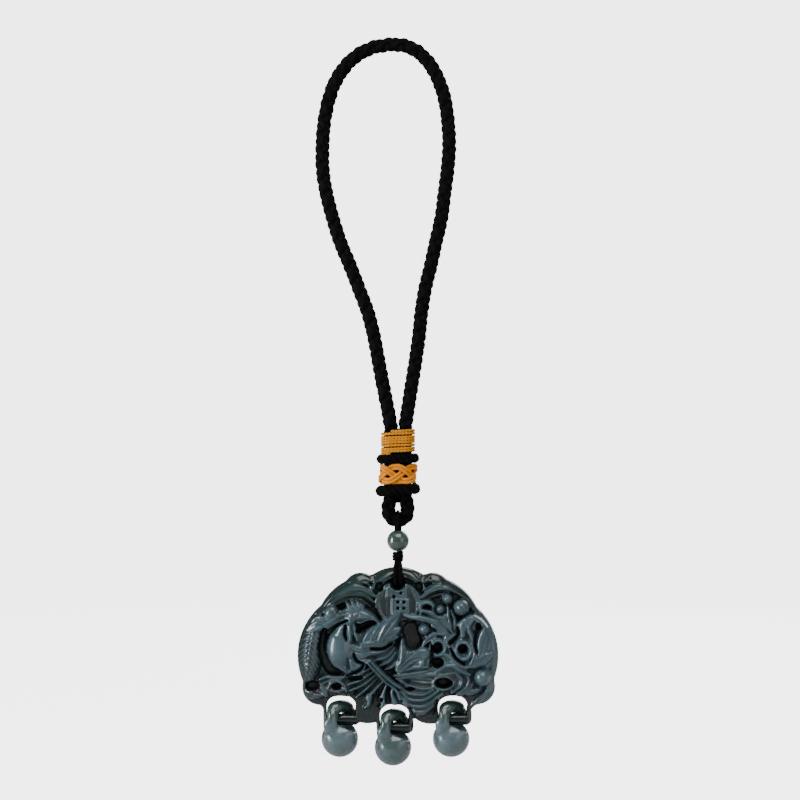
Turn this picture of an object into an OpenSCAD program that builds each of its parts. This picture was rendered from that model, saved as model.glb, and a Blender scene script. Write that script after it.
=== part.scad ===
// Carved jade pendant on a braided black cord.
// The pendant hangs: +Z is up, the carved front faces -Y, and the origin is
// the point under the top of the cord loop where a hook or a hand holds it.

/* [Jade plate] */
// Width of the carved plate
plate_w = 59.2; // [52:0.1:68]
// Height of the carved plate from its top lobe to its middle lug
plate_h = 49.7; // [44:0.1:58]
// Thickness of the plate without its carving
plate_t = 3.6; // [3:0.1:5]
// Height of the carving above the plate
relief_h = 4.4; // [2.5:0.1:6]
// Rounding of the plate's outer edge
edge_round = 1.1; // [0.6:0.1:1.4]
// Depth of the drilled and carved hollows below the plate's front
hollow_depth = 1.6; // [0.5:0.1:2.4]

/* [Rim bars and drop rings] */
// Diameter of the bar that each drop ring hangs on
bar_d = 3.4; // [2.6:0.1:3.8]
// Width of the opening above each bar
opening_w = 8.7; // [8.5:0.1:9.2]
// Height of the opening above each bar
opening_h = 5.4; // [5:0.1:6.5]
// Distance from a ring's middle to the middle of its opening
opening_shift = 0.45; // [0.3:0.05:0.6]
// Radius of the lug that carries each bar
lug_r = 5.5; // [5.3:0.1:6.5]
// Thickness of a ring's limb
limb_d = 3.2; // [2.6:0.1:3.4]
// Diameter of the ball at the foot of each ring
ball_d = 10.9; // [9:0.1:12]
// Distance from the bar's axis down to the middle of the ball
ball_drop = 5.7; // [5.6:0.1:6.5]
// Angle between a ring and the face of the plate
ring_turn = 57; // [54:1:75]
// Gap between a ring's crown and the bar that it rests on
seat_gap = 0.25; // [0.2:0.05:0.4]
// Gap between a ring's limbs and the plate's faces
limb_gap = 0.3; // [0.2:0.05:0.5]

/* [Cord and collar] */
// Thickness of the braided cord
cord_d = 4; // [3.6:0.1:4.4]
// Gap between the two limbs of the cord inside the collar
cord_gap = 0.1; // [0.1:0.05:0.3]
// Gap between the cord and what is wound round it
wrap_gap = 0.15; // [0.1:0.05:0.3]
// Thickness of the gold thread of the upper winding
gold_thread_d = 0.85; // [0.6:0.05:1.1]
// Turns of the upper winding
winding_turns = 9; // [6:1:11]
// Thickness of the strand of the woven knot
knot_strand_d = 0.9; // [0.7:0.05:1.1]
// Height of the woven knot
knot_h = 6.2; // [5:0.1:7.5]
// Height of a turn of black cord round the collar
turn_h = 2.4; // [1.8:0.1:2.8]
// Thickness of a turn of black cord round the collar
turn_t = 1.3; // [1:0.1:1.6]
// Gap between the wrappings along the collar
stack_gap = 0.12; // [0.1:0.02:0.3]
// Tilt of the lower turn of black cord
turn_tilt = 4; // [0:0.5:5]
// Width of the eye in the small loop below the collar
eye_w = 1.6; // [1.3:0.1:2.2]
// Height of the small loop from the collar to the middle of its bend
eye_drop = 4.6; // [4:0.1:6]

/* [Bead and hanging thread] */
// Diameter of the jade bead
bead_d = 5.9; // [5:0.1:8]
// Diameter of the hole through the bead
bead_hole_d = 1.9; // [1.5:0.1:2.2]
// Thickness of the hanging thread
thread_d = 0.95; // [0.8:0.05:1.1]
// Height of the knot under the bead
tie_h = 3.3; // [2.5:0.1:4.5]
// Width of the knot under the bead
tie_w = 3.1; // [2.6:0.1:3.6]
// Gap between the thread and what it passes or holds
thread_gap = 0.12; // [0.1:0.02:0.25]
// Distance from the knot to the top of the plate
plate_gap = 1.4; // [0.8:0.1:2.4]
// Diameter of the thread's hole in the plate
thread_hole_d = 3.1; // [2.8:0.1:3.4]
// Distance from the plate's top edge to the middle of that hole
thread_hole_drop = 4.4; // [4:0.1:5.5]

/* [Hidden] */

jade = [0.30, 0.39, 0.42];
jade_green = [0.24, 0.36, 0.34];
black = [0.04, 0.04, 0.05];
gold = [0.88, 0.62, 0.16];

cord_sides = 10;
bound_sides = 12;
// Rings of the carved front between the plate's middle and its edge. Each
// ring has six points more than the one inside it, as a net of triangles has.
front_rings = 31;
outline_steps = 6 * front_rings;
// Radius of an opening's upper corners
corner_r = 3.2;
// How much narrower the ends of a bar are inside their walls
bar_taper = 0.5;
// Flare of the thread hole's mouths
mouth_flare = 0.45;
// Rise of the plate's slightly domed faces at their middle
face_rise = 0.12;
// Thickness of the wall that each end of a bar stands in
end_wall = 0.9;
// Radius of that wall's rounded lower corner
end_r = 1.5;
// How much narrower a ring's bore is cut than the inside of its arch
bore_trim = 0.05;

// The route of the cord loop, from the collar up the left side and back
// down the right side, as x and z. Its ends stand on the collar's limbs.
collar_top = -111;
CORD_ROUTE = [[-3.1, -105], [-4.5, -98], [-5.8, -91], [-7.1, -84], [-8.9, -77], [-11.5, -70],
              [-14.2, -63], [-17.1, -56], [-19.3, -49], [-21.1, -42], [-22.2, -35], [-22.3, -28],
              [-21.8, -21], [-20.4, -14], [-18.2, -8.2], [-14.4, -3], [-9.6, 0.4], [-4.4, 1.9],
              [1, 2], [5.6, 0.2], [9.4, -3.6], [12, -8.4], [13.8, -14], [14.8, -21], [15.1, -28],
              [14.6, -35], [13.7, -42], [12.8, -49], [11.2, -56], [9.7, -63], [8, -70], [6.9, -77],
              [6.2, -84], [5.2, -91], [4.1, -98], [3, -105]];

// The collar, worked down from its top
cord_r = cord_d / 2;
limb_x = (cord_d + cord_gap) / 2;
winding_h = winding_turns * gold_thread_d;
winding_top = collar_top - stack_gap;
upper_turn_z = winding_top - winding_h - stack_gap - turn_h / 2;
knot_top = upper_turn_z - turn_h / 2 - stack_gap;
tilt_rise = (limb_x + cord_r + turn_t + 2 * wrap_gap) * sin(turn_tilt);
lower_turn_z = knot_top - knot_h - stack_gap - tilt_rise - turn_h / 2;
collar_foot = lower_turn_z - turn_h / 2 - tilt_rise;
eye_x = (cord_d + eye_w) / 2;
bend_z = collar_foot - eye_drop;

// The thread ring round the small loop, the bead and the knot
bend_foot_z = bend_z - eye_x;
thread_ring_r = cord_r + thread_gap + thread_d / 2;
thread_ring_foot = bend_foot_z - thread_ring_r - thread_d / 2;
bead_r = bead_d / 2;
bead_z = thread_ring_foot - bead_r;
bead_foot = bead_z - bead_r;
tie_top = bead_foot - thread_gap;
tie_foot = tie_top - tie_h;
plate_top = tie_foot - plate_gap;
thread_hole_z = plate_top - thread_hole_drop;

// The plate's drawing grid: 200 squares across and 168 squares up, counted
// from the middle of the plate. The tables below count in its squares.
grid_w = 200;
grid_h = 168;
square_x = plate_w / grid_w;
square_z = plate_h / grid_h;
plate_z = plate_top - plate_h / 2;
front_y = -plate_t / 2;

// Where the three rings hang: the middle of each ring and the bar's height
RING_PLACES = [[-58, -68], [-5, -76.5], [53, -68]];
function ring_x(i) = RING_PLACES[i][0] * square_x;
function bar_z(i) = plate_z + RING_PLACES[i][1] * square_z;

// The ring, sized so that its limbs pass the plate's faces
bar_r = bar_d / 2;
limb_r = limb_d / 2;
ring_r = (max(plate_t / 2, bar_r) + limb_r + limb_gap) / sin(ring_turn);
ring_mid = bar_r + seat_gap + limb_r - ring_r;

// Round lobes of the plate's outline: x, z and radius in squares
LOBES = [[0, 38, 46.3], [-37, 61, 17.5], [35, 61, 17.5], [-28, 21, 54.7], [29, 21, 54.7],
         [-35, -4, 65.2], [35, -4, 65.2], [-78, -36, 17.5], [79, -35, 18],
         [-30, -49, 23], [32, -49, 23.5]];
// The lugs stand round the openings
lug_rise = lug_r - bar_r;
function opening_x(i) = ring_x(i) + opening_shift;
LUGS = [for (i = [0:2]) [opening_x(i) / square_x, RING_PLACES[i][1] + lug_rise / square_z,
                         lug_r / square_x]];
BAR_ENDS = [for (i = [0:2], side = [-1, 1])
    [(opening_x(i) + side * (opening_w / 2 + end_wall - end_r)) / square_x, RING_PLACES[i][1],
     end_r / square_x]];

function hit(lobe, a) =
    let (along = lobe[0] * cos(a) + lobe[1] * sin(a),
         inside = lobe[2] * lobe[2] - lobe[0] * lobe[0] - lobe[1] * lobe[1] + along * along)
    inside < 0 ? 0 : along + sqrt(inside);
function reach(a) = max([for (lobe = concat(LOBES, LUGS, BAR_ENDS)) hit(lobe, a)]);
REACH = [for (i = [0:outline_steps - 1]) reach(i * 360 / outline_steps)];

// A level of a loft of the outline: inset in squares, and y in mm
function outline_level(inset, y) =
    [for (i = [0:outline_steps - 1])
        let (a = i * 360 / outline_steps, r = REACH[i] - inset)
        [r * cos(a) * square_x, y, plate_z + r * sin(a) * square_z]];

// The rounded edge as depth and inset, in shares of edge_round
EDGE = [[0, 1], [0.3, 0.3], [1, 0]];
// The carving sinks towards the plate's edge over this many squares
edge_slope = 16;

// Carved blades. Columns: width at the start, middle and end in squares,
// height of the crest as a share of relief_h, and the route in squares.
RIM = [
    [[3, 4, 3], 0.36, [[-24, 67], [-14, 76], [0, 79], [13, 77], [24, 68]]],
    [[3, 8, 3], 0.36, [[-44, 70], [-34, 75], [-25, 74]]],
    [[2, 3, 2], 0.30, [[-50, 67], [-40, 69], [-31, 66], [-25, 60]]],
    [[3, 5, 3], 0.40, [[-77, 38], [-69, 54], [-54, 64], [-38, 65], [-22, 56]]],
    [[3, 8, 3], 0.36, [[24, 74], [33, 75], [42, 71]]],
    [[2, 3, 2], 0.30, [[27, 62], [36, 67], [48, 69], [57, 64]]],
    [[3, 5, 3], 0.40, [[25, 57], [40, 65], [58, 63], [71, 52], [79, 38]]],
    [[2, 4, 3], 0.28, [[84, 30], [94, 14], [96, -6], [93, -28], [84, -44]]],
    [[2, 3, 2], 0.50, [[-22, 48], [-17, 62], [0, 69], [15, 63], [22, 50]]]];
BIRD = [
    [[4, 7, 3], 0.62, [[-46, 40], [-58, 37], [-68, 31], [-77, 29]]],
    [[2, 8, 2], 0.50, [[-90, 24], [-80, 28], [-64, 27]]],
    [[2, 7, 2], 0.48, [[-89, 30], [-82, 34], [-74, 33], [-66, 31]]],
    [[8, 6, 1], 0.84, [[-36, 38], [-29, 35], [-22, 31]]],
    [[4, 3, 1], 0.62, [[-40, 30], [-32, 30], [-25, 31]]],
    [[4, 6, 2], 0.70, [[-43, 41], [-50, 43], [-55, 43]]],
    [[4, 6, 2], 0.75, [[-41, 42], [-45, 46], [-49, 49]]],
    [[4, 6, 2], 0.75, [[-38, 42], [-40, 47], [-42, 51]]],
    [[4, 5, 2], 0.70, [[-35, 41], [-35, 45], [-36, 48]]],
    [[12, 15, 22], 0.80, [[-44, 34], [-51, 25], [-56, 10]]],
    [[2, 6, 3], 0.88, [[-50, 25], [-50, 17], [-46, 10]]],
    [[3, 8, 3], 0.80, [[-45, 27], [-44, 18], [-39, 11]]],
    [[4, 13, 5], 0.76, [[-51, -4], [-43, -13], [-33, -16]]]];
WING = [
    [[3, 6, 2], 0.76, [[-46, 8], [-37, 5], [-27, 3]]],
    [[3, 6, 2], 0.74, [[-45, 1], [-36, -2], [-25, -2]]],
    [[3, 5, 2], 0.70, [[-42, -5], [-34, -8], [-24, -6]]],
    [[4, 9, 2], 0.68, [[-33, 8], [-27, 18], [-18, 29]]],
    [[4, 7, 2], 0.74, [[-26, 8], [-20, 19], [-14, 31]]],
    [[4, 15, 2], 0.84, [[-17, 9], [-8, 24], [2, 40]]],
    [[4, 10, 2], 0.80, [[-16, 8], [-6, 18], [3, 26]]],
    [[4, 10, 2], 0.82, [[-24, 8], [-12, 13], [-2, 15]]],
    [[3, 10, 3], 0.80, [[-30, 4], [-20, 6], [-10, 8]]],
    [[3, 6, 2], 0.62, [[-31, -1], [-21, -2], [-11, 2]]]];
FEATHER = [
    [[12, 24, 12], 0.60, [[-83, 20], [-86, 2], [-87, -16], [-89, -28]]],
    [[2, 3, 2], 0.66, [[-83, 22], [-86, 2], [-89, -28]]]];
LOWER_LEFT = [
    [[2, 4, 3], 0.60, [[-77, -27], [-62, -24], [-46, -19], [-33, -11]]],
    [[2, 4, 2], 0.52, [[-78, -33], [-64, -29], [-53, -25]]],
    [[2, 3, 2], 0.50, [[-67, -41], [-64, -32], [-57, -31], [-50, -40]]],
    [[3, 7, 3], 0.46, [[-80, -33], [-73, -35], [-70, -42]]],
    [[3, 6, 3], 0.36, [[-90, -41], [-83, -42], [-74, -41]]]];
TAIL = [
    [[4, 5, 5], 0.86, [[-31, -4], [-20, -17], [-9, -29], [1, -40], [3, -50]]],
    [[2, 3, 2], 0.60, [[-25, -19], [-38, -23], [-50, -30]]],
    [[2, 3, 2], 0.58, [[-22, -22], [-35, -30], [-49, -35]]],
    [[2, 3, 2], 0.55, [[-21, -25], [-33, -36], [-47, -44]]],
    [[2, 5, 8], 0.58, [[-16, -27], [-28, -40], [-31, -53]]],
    [[2, 5, 8], 0.58, [[-11, -31], [-14, -42], [-17, -54]]],
    [[3, 5, 6], 0.56, [[-4, -35], [-4, -43], [-2, -50]]]];
CENTRE = [
    [[1, 9, 3], 0.80, [[3, 14], [4, 0], [4, -14]]],
    [[2, 4, 2], 0.56, [[-3, 11], [-8, 0], [-20, -8]]],
    [[2, 4, 2], 0.54, [[-1, 4], [-5, -6], [-15, -14]]],
    [[3, 20, 12], 0.70, [[0, -20], [16, -7], [31, -3]]],
    [[2, 3, 2], 0.78, [[1, -18], [13, -15], [30, -13]]],
    [[2, 3, 2], 0.70, [[-4, -24], [14, -21], [32, -18]]]];
BRANCH = [
    [[2, 8, 3], 0.70, [[5, 37], [18, 34], [34, 31], [49, 20]]],
    [[3, 6, 2], 0.66, [[24, 42], [34, 38], [44, 32], [51, 23]]],
    [[4, 6, 3], 0.62, [[23, 40], [25, 48], [32, 50], [35, 44]]],
    [[2, 5, 3], 0.60, [[31, 28], [40, 24], [47, 18]]],
    [[3, 6, 2], 0.58, [[24, 6], [28, 14], [37, 18]]],
    [[3, 10, 5], 0.58, [[50, 8], [50, 14], [52, 19]]],
    [[2, 3, 2], 0.62, [[46, 44], [49, 36], [52, 22]]],
    [[2, 3, 2], 0.62, [[51, 46], [54, 36], [56, 22]]]];
BLOOM = [
    [[5, 11, 6], 0.76, [[66, 34], [61, 25], [62, 16]]],
    [[5, 8, 4], 0.80, [[70, 10], [70, 24], [76, 35]]],
    [[4, 6, 3], 0.66, [[74, 35], [82, 31], [88, 21]]],
    [[4, 14, 4], 0.64, [[79, -10], [82, 6], [88, 22]]],
    [[3, 13, 4], 0.72, [[71, -14], [81, -8], [90, 0]]],
    [[3, 6, 3], 0.74, [[49, 9], [56, -4], [68, -14]]],
    [[3, 7, 3], 0.70, [[35, -5], [46, -1], [57, -6], [67, -14]]],
    [[3, 7, 3], 0.68, [[37, -19], [46, -14], [58, -16], [74, -22]]]];
SWIRL = [
    [[2, 4, 2], 0.65, [[0, -27], [14, -23], [28, -22], [42, -24], [54, -21]]],
    [[2, 8, 2], 0.50, [[14, -26], [26, -29], [38, -30]]],
    [[2, 3, 2], 0.60, [[58, -20], [63, -27], [60, -36], [51, -40]]],
    [[2, 3, 2], 0.56, [[64, -17], [70, -26], [66, -36], [56, -42]]],
    [[2, 4, 2], 0.62, [[3, -33], [12, -41], [25, -43], [35, -36]]],
    [[2, 4, 2], 0.58, [[2, -38], [12, -48], [27, -50], [39, -39]]],
    [[2, 4, 2], 0.52, [[2, -45], [13, -56], [30, -56], [44, -42]]],
    [[2, 7, 3], 0.46, [[68, -41], [75, -38], [81, -35]]]];

// Round forms: x, z, half width and half height in squares, height share
MOUNDS = [
    [-68, 39, 7, 7, 0.58], [-40, 37, 11, 9, 0.86], [-56, 1, 15.5, 24, 0.92],
    [-88, -40, 6, 6, 0.40], [24, -10, 5, 5, 0.82], [41, 5, 10, 11, 0.66],
    [64, 1, 12, 14, 0.72], [22, -48, 19, 15, 0.44]];
BERRIES = [
    [49, 53, 5.5, 5.5, 0.76], [63, 44, 8.5, 8.5, 0.86], [42, 43, 5, 5, 0.72],
    [26, 23, 6.5, 6.5, 0.76], [84, -25, 9.5, 9.5, 0.80]];
// Hollows: x, z, half width and half height in squares
HOLLOWS = [
    [39, 4, 5, 5], [64, 4, 4.5, 4.5], [40, -10, 5, 4.5], [45, -31, 9, 5], [13, 16, 9, 13],
    [-85, -33, 6, 4], [-66, -17, 8, 6], [-19, 64, 4, 4], [23, 63, 4, 5], [-34, -27, 9, 4]];
// The medallion's disc as x, z, radius and height share
MEDAL = [0, 47, 20, 0.42];
// Its raised tablets as x, z, half width, half height and height share
TABLETS = [[-1, 60, 11, 6, 0.58], [3, 46, 9, 8, 0.60]];

// A value that passes three given ones at the start, middle and end
function swell(v, t) = v[0] * (1 - t) * (1 - 2 * t) + 4 * v[1] * t * (1 - t) + v[2] * t * (2 * t - 1);
function unit(v) = v / norm(v);
// The side faces of a loft through sections of n points
function loft_sides(sections, n) =
    [for (s = [0:sections - 2], i = [0:n - 1])
        let (j = (i + 1) % n)
        each [[s * n + i, s * n + j, (s + 1) * n + i],
              [s * n + j, (s + 1) * n + j, (s + 1) * n + i]]];
// Faces of a closed loft
function loft_faces(sections, n) =
    let (last = (sections - 1) * n)
    concat([[for (i = [n - 1:-1:0]) i]], loft_sides(sections, n), [[for (i = [0:n - 1]) last + i]]);
// Faces of the net of triangles that lies between the first point of a list
// and its ring of that number. Ring k starts after 3 k (k - 1) + 1 points.
function net_start(k) = k < 1 ? 0 : 3 * k * (k - 1) + 1;
function net_point(k, i) = k < 1 ? 0 : net_start(k) + i % (6 * k);
function net_faces(rings) =
    [for (k = [1:rings], side = [0:5], i = [0:k - 1])
        let (outer = side * k + i, inner = side * (k - 1) + i)
        each concat([[net_point(k, outer), net_point(k - 1, inner), net_point(k, outer + 1)]],
                    i > 0 ? [[net_point(k, outer), net_point(k - 1, inner - 1), net_point(k - 1, inner)]] : [])];
function shifted(faces, by) = [for (f = faces) [for (v = f) v + by]];

// How much of its height the carving keeps at a place on the grid
edge_keeps = 0.5;
function keeps(p) =
    let (room = reach(atan2(p[1], p[0])) - norm(p))
    max(edge_keeps, min(1, edge_keeps + (1 - edge_keeps) * room / edge_slope));

// The narrowest blade that the front's net of points can carry, in squares
least_w = 5.5;
BLADES = concat(RIM, BIRD, WING, FEATHER, LOWER_LEFT, TAIL, CENTRE, BRANCH, BLOOM, SWIRL);
function column(rows, i) = [for (row = rows) row[i]];
// The box on the grid that each blade stays in: its lowest and highest x and z
BLADE_BOXES = [for (b = BLADES)
    let (half = max(least_w, max(b[0])) / 2, xs = column(b[2], 0), zs = column(b[2], 1))
    [min(xs) - half, max(xs) + half, min(zs) - half, max(zs) + half]];
function in_box(p, b) = p[0] > b[0] && p[0] < b[1] && p[1] > b[2] && p[1] < b[3];

// Heights of the forms at a place on the grid, in shares of relief_h
function blade_at(p, row) =
    let (route = row[2], last = len(route) - 1)
    max([for (i = [0:last - 1])
        let (way = route[i + 1] - route[i],
             s = max(0, min(1, (p - route[i]) * way / (way * way))),
             half = max(swell(row[0], (i + s) / last), least_w) / 2,
             u = norm(p - route[i] - s * way) / half)
        u < 1 ? row[1] * (1 - u * u) : 0]);
function dome_at(p, row) =
    let (u = norm([(p[0] - row[0]) / row[2], (p[1] - row[1]) / row[3]]))
    u < 1 ? row[4] * sqrt(1 - u * u) : 0;
function medal_at(p) =
    max(norm(p - [MEDAL[0], MEDAL[1]]) < MEDAL[2] ? MEDAL[3] : 0,
        max([for (t = TABLETS) abs(p[0] - t[0]) < t[2] && abs(p[1] - t[1]) < t[3] ? t[4] : 0]));
function in_hollow(p) =
    min([for (h = HOLLOWS) norm([(p[0] - h[0]) / h[2], (p[1] - h[1]) / h[3]])]) < 1;
function height_at(p) =
    in_hollow(p) ? -hollow_depth :
    relief_h * keeps(p) * max(concat(
        [medal_at(p)],
        [for (i = [0:len(BLADES) - 1]) if (in_box(p, BLADE_BOXES[i])) blade_at(p, BLADES[i])],
        [for (row = concat(MOUNDS, BERRIES)) dome_at(p, row)]));

// Ring k of the carved front
function front_ring(k) =
    [for (i = [0:max(6 * k, 1) - 1])
        let (a = k < 1 ? 0 : i * 60 / k,
             r = (reach(a) - edge_round / square_x) * k / front_rings,
             p = [r * cos(a), r * sin(a)])
        [p[0] * square_x, front_y - height_at(p) - face_rise * (1 - pow(k / front_rings, 2)),
         plate_z + p[1] * square_z]];

// The plate with its rounded edges, its plain back and its carved front
module plate_body() {
    carved = [for (k = [0:front_rings]) each front_ring(k)];
    front = [for (k = [1:len(EDGE) - 1])
        outline_level(EDGE[k][1] * edge_round / square_x, front_y + EDGE[k][0] * edge_round)];
    back = [for (k = [len(EDGE) - 1:-1:0])
        outline_level(EDGE[k][1] * edge_round / square_x, -front_y - EDGE[k][0] * edge_round)];
    levels = concat(front, back);
    rim = net_start(front_rings);
    last = rim + len(levels) * outline_steps;
    back_middle = last + outline_steps;
    polyhedron(points = concat(carved, [for (l = levels) each l], [[0, face_rise - front_y, plate_z]]),
               faces = concat(net_faces(front_rings),
                              shifted(loft_sides(len(levels) + 1, outline_steps), rim),
                              [for (i = [0:outline_steps - 1])
                                  [last + i, last + (i + 1) % outline_steps, back_middle]]));
}

// One opening with two rounded corners above its bar. It goes on below the
// plate's edge, so the round bar itself is added.
cut_t = 2 * (plate_t + relief_h);
module ring_opening(i) {
    translate([opening_x(i), 0, bar_z(i)])
        hull() {
            for (side = [-1, 1])
                translate([side * (opening_w / 2 - corner_r), 0, bar_r + opening_h - corner_r])
                    rotate([90, 0, 0])
                        cylinder(h = cut_t, r = corner_r, center = true, $fn = 24);
            translate([0, 0, -2 * lug_r])
                cube([opening_w, cut_t, 0.1], center = true);
        }
}

// A round bar whose ends taper inside their walls
module bar(i) {
    translate([opening_x(i), 0, bar_z(i)])
        rotate([0, 90, 0])
            hull() {
                cylinder(h = opening_w, r = bar_r, center = true, $fn = 28);
                cylinder(h = opening_w + end_wall, r = bar_r - bar_taper, center = true, $fn = 28);
            }
}

// The bore for the thread with its flared mouths
module thread_hole() {
    hole_r = thread_hole_d / 2;
    translate([0, 0, thread_hole_z])
        rotate([90, 0, 0]) {
            cylinder(h = cut_t, r = hole_r, center = true, $fn = 24);
            for (side = [0, 1])
                mirror([0, 0, side])
                    translate([0, 0, plate_t / 2 - mouth_flare])
                        hull() {
                            cylinder(h = 0.01, r = hole_r, $fn = 24);
                            translate([0, 0, mouth_flare])
                                cylinder(h = relief_h, r = hole_r + mouth_flare, $fn = 24);
                        }
        }
}

module jade_plate() {
    color(jade) {
        difference() {
            plate_body();
            for (i = [0:2]) ring_opening(i);
            thread_hole();
        }
        for (i = [0:2]) bar(i);
    }
}

// A ball with an arched limb that is closed round the plate's bar
module drop_ring(i) {
    translate([ring_x(i), 0, bar_z(i)])
        rotate([0, 0, ring_turn])
            difference() {
                union() {
                    translate([0, 0, ring_mid])
                        rotate([90, 0, 0])
                            rotate_extrude($fn = 64)
                                translate([ring_r, 0])
                                    circle(r = limb_r, $fn = 32);
                    translate([0, 0, -ball_drop])
                        sphere(d = ball_d, $fn = 64);
                }
                translate([0, 0, ring_mid])
                    rotate([90, 0, 0])
                        cylinder(h = 2 * ball_d, r = ring_r - limb_r - bore_trim, center = true,
                                 $fn = 64);
            }
}

module left_drop_ring() {
    color(jade_green) drop_ring(0);
}

module middle_drop_ring() {
    color(jade_green) drop_ring(1);
}

module right_drop_ring() {
    color(jade_green) drop_ring(2);
}

// A tube of round sections swept along a flat route of x and z points
module flat_tube(route, r, sides) {
    last = len(route) - 1;
    rings = [for (i = [0:last])
        let (way = unit(route[min(i + 1, last)] - route[max(i - 1, 0)]),
             flow = i == 0 || i == last ? [0, i == 0 ? 1 : -1] : way)
        [for (k = [0:sides - 1])
            let (a = k * 360 / sides)
            [route[i][0] - flow[1] * r * cos(a), r * sin(a), route[i][1] + flow[0] * r * cos(a)]]];
    polyhedron(points = [for (g = rings) each g], faces = loft_faces(len(rings), sides));
}

module cord_loop() {
    color(black)
        flat_tube(concat([[-limb_x, collar_top]], CORD_ROUTE, [[limb_x, collar_top]]),
                  cord_r, cord_sides);
}

// The two limbs inside the collar and the small loop that joins them
module bound_cord() {
    bend_steps = 12;
    // Where the limbs begin to part below the collar, and where they run straight again
    parting = collar_foot - 0.35 * eye_drop;
    parted = collar_foot - 0.7 * eye_drop;
    side = [[limb_x, winding_top], [limb_x, (winding_top + collar_foot) / 2], [limb_x, collar_foot],
            [(limb_x + eye_x) / 2, parting], [eye_x, parted]];
    bend = [for (k = [0:bend_steps])
        let (a = -k * 180 / bend_steps)
        [eye_x * cos(a), bend_z + eye_x * sin(a)]];
    left = [for (k = [len(side) - 1:-1:0]) [-side[k][0], side[k][1]]];
    route = concat(side, bend, left);
    last = len(route) - 1;
    rings = [for (i = [0:last])
        let (way = unit(route[min(i + 1, last)] - route[max(i - 1, 0)]),
             flow = i == 0 ? [0, -1] : i == last ? [0, 1] : way)
        [for (k = [0:bound_sides - 1])
            let (a = k * 360 / bound_sides)
            [route[i][0] - flow[1] * cord_r * cos(a), cord_r * sin(a),
             route[i][1] + flow[0] * cord_r * cos(a)]]];
    color(black)
        polyhedron(points = [for (g = rings) each g], faces = loft_faces(len(rings), bound_sides));
}

// A band round both limbs: the child profile stands at its inner wall
module round_the_limbs() {
    for (side = [0, 180])
        rotate([0, 0, side]) {
            translate([limb_x, 0, 0])
                rotate([0, 0, -90])
                    rotate_extrude(angle = 180, $fn = 48) children();
            translate([-limb_x, 0, 0])
                rotate([90, 0, 90])
                    linear_extrude(2 * limb_x) children();
        }
}

inner_wall = cord_r + wrap_gap;

// The profile of the winding: a thin wall with a round ridge for each turn
module winding_profile() {
    core = 0.35 * gold_thread_d;
    translate([inner_wall, -winding_h])
        square([core + gold_thread_d / 4, winding_h]);
    for (k = [0:winding_turns - 1])
        translate([inner_wall + gold_thread_d / 2, -(k + 0.5) * gold_thread_d])
            circle(d = gold_thread_d, $fn = 24);
}

module upper_winding() {
    color(gold)
        translate([0, 0, winding_top])
            round_the_limbs() winding_profile();
}

// The rounded section of a turn of black cord
module turn_profile(wall) {
    translate([wall, -(turn_h - turn_t) / 2])
        square([turn_t, turn_h - turn_t]);
    for (up = [-1, 1])
        translate([wall + turn_t / 2, up * (turn_h - turn_t) / 2])
            circle(d = turn_t, $fn = 24);
}

module upper_black_turn() {
    color(black)
        translate([0, 0, upper_turn_z])
            round_the_limbs() turn_profile(inner_wall);
}

module lower_black_turn() {
    color(black)
        translate([0, 0, lower_turn_z])
            rotate([0, -turn_tilt, 0])
                round_the_limbs() turn_profile(inner_wall + turn_h * sin(turn_tilt));
}

// A point on the band round the limbs, at share s of the way round
function band_point(s, wall) =
    let (straight = 2 * limb_x, arc = PI * wall, whole = 2 * (straight + arc),
         d = (s - floor(s)) * whole)
    d < straight ? [-limb_x + d, -wall] :
    d < straight + arc ? let (a = (d - straight) / wall * 180 / PI - 90)
        [limb_x + wall * cos(a), wall * sin(a)] :
    d < 2 * straight + arc ? [limb_x - (d - straight - arc), wall] :
    let (a = (d - 2 * straight - arc) / wall * 180 / PI + 90) [-limb_x + wall * cos(a), wall * sin(a)];

// A strand that weaves up and down round the limbs, as a closed chain
module woven_strand(phase, waves, rise, layer) {
    steps = 30;
    points = [for (k = [0:steps - 1])
        let (s = k / steps, p = band_point(s, layer))
        [p[0], p[1], knot_top - knot_h / 2 + rise * sin(waves * 360 * s + phase)]];
    for (k = [0:steps - 1])
        hull() {
            translate(points[k]) knuckle();
            translate(points[(k + 1) % steps]) knuckle();
        }
}

module knuckle() {
    rotate([0, 90, 0])
        cylinder(h = 0.6 * knot_strand_d, d = knot_strand_d, center = true, $fn = 6);
}

module gold_knot() {
    inner_layer = inner_wall + 0.5 * knot_strand_d;
    edge_rise = (knot_h - knot_strand_d) / 2;
    color(gold) {
        for (phase = [0, 180])
            woven_strand(phase, 3, edge_rise, inner_layer + 0.35 * knot_strand_d);
        for (side = [-1, 1])
            translate([0, 0, side * edge_rise]) woven_strand(0, 1, 0, inner_layer);
    }
}

// A chain of rounded links along a list of points
module thread_chain(points) {
    for (k = [0:len(points) - 2])
        hull() {
            translate(points[k]) sphere(d = thread_d, $fn = 6);
            translate(points[k + 1]) sphere(d = thread_d, $fn = 6);
        }
}

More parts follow.
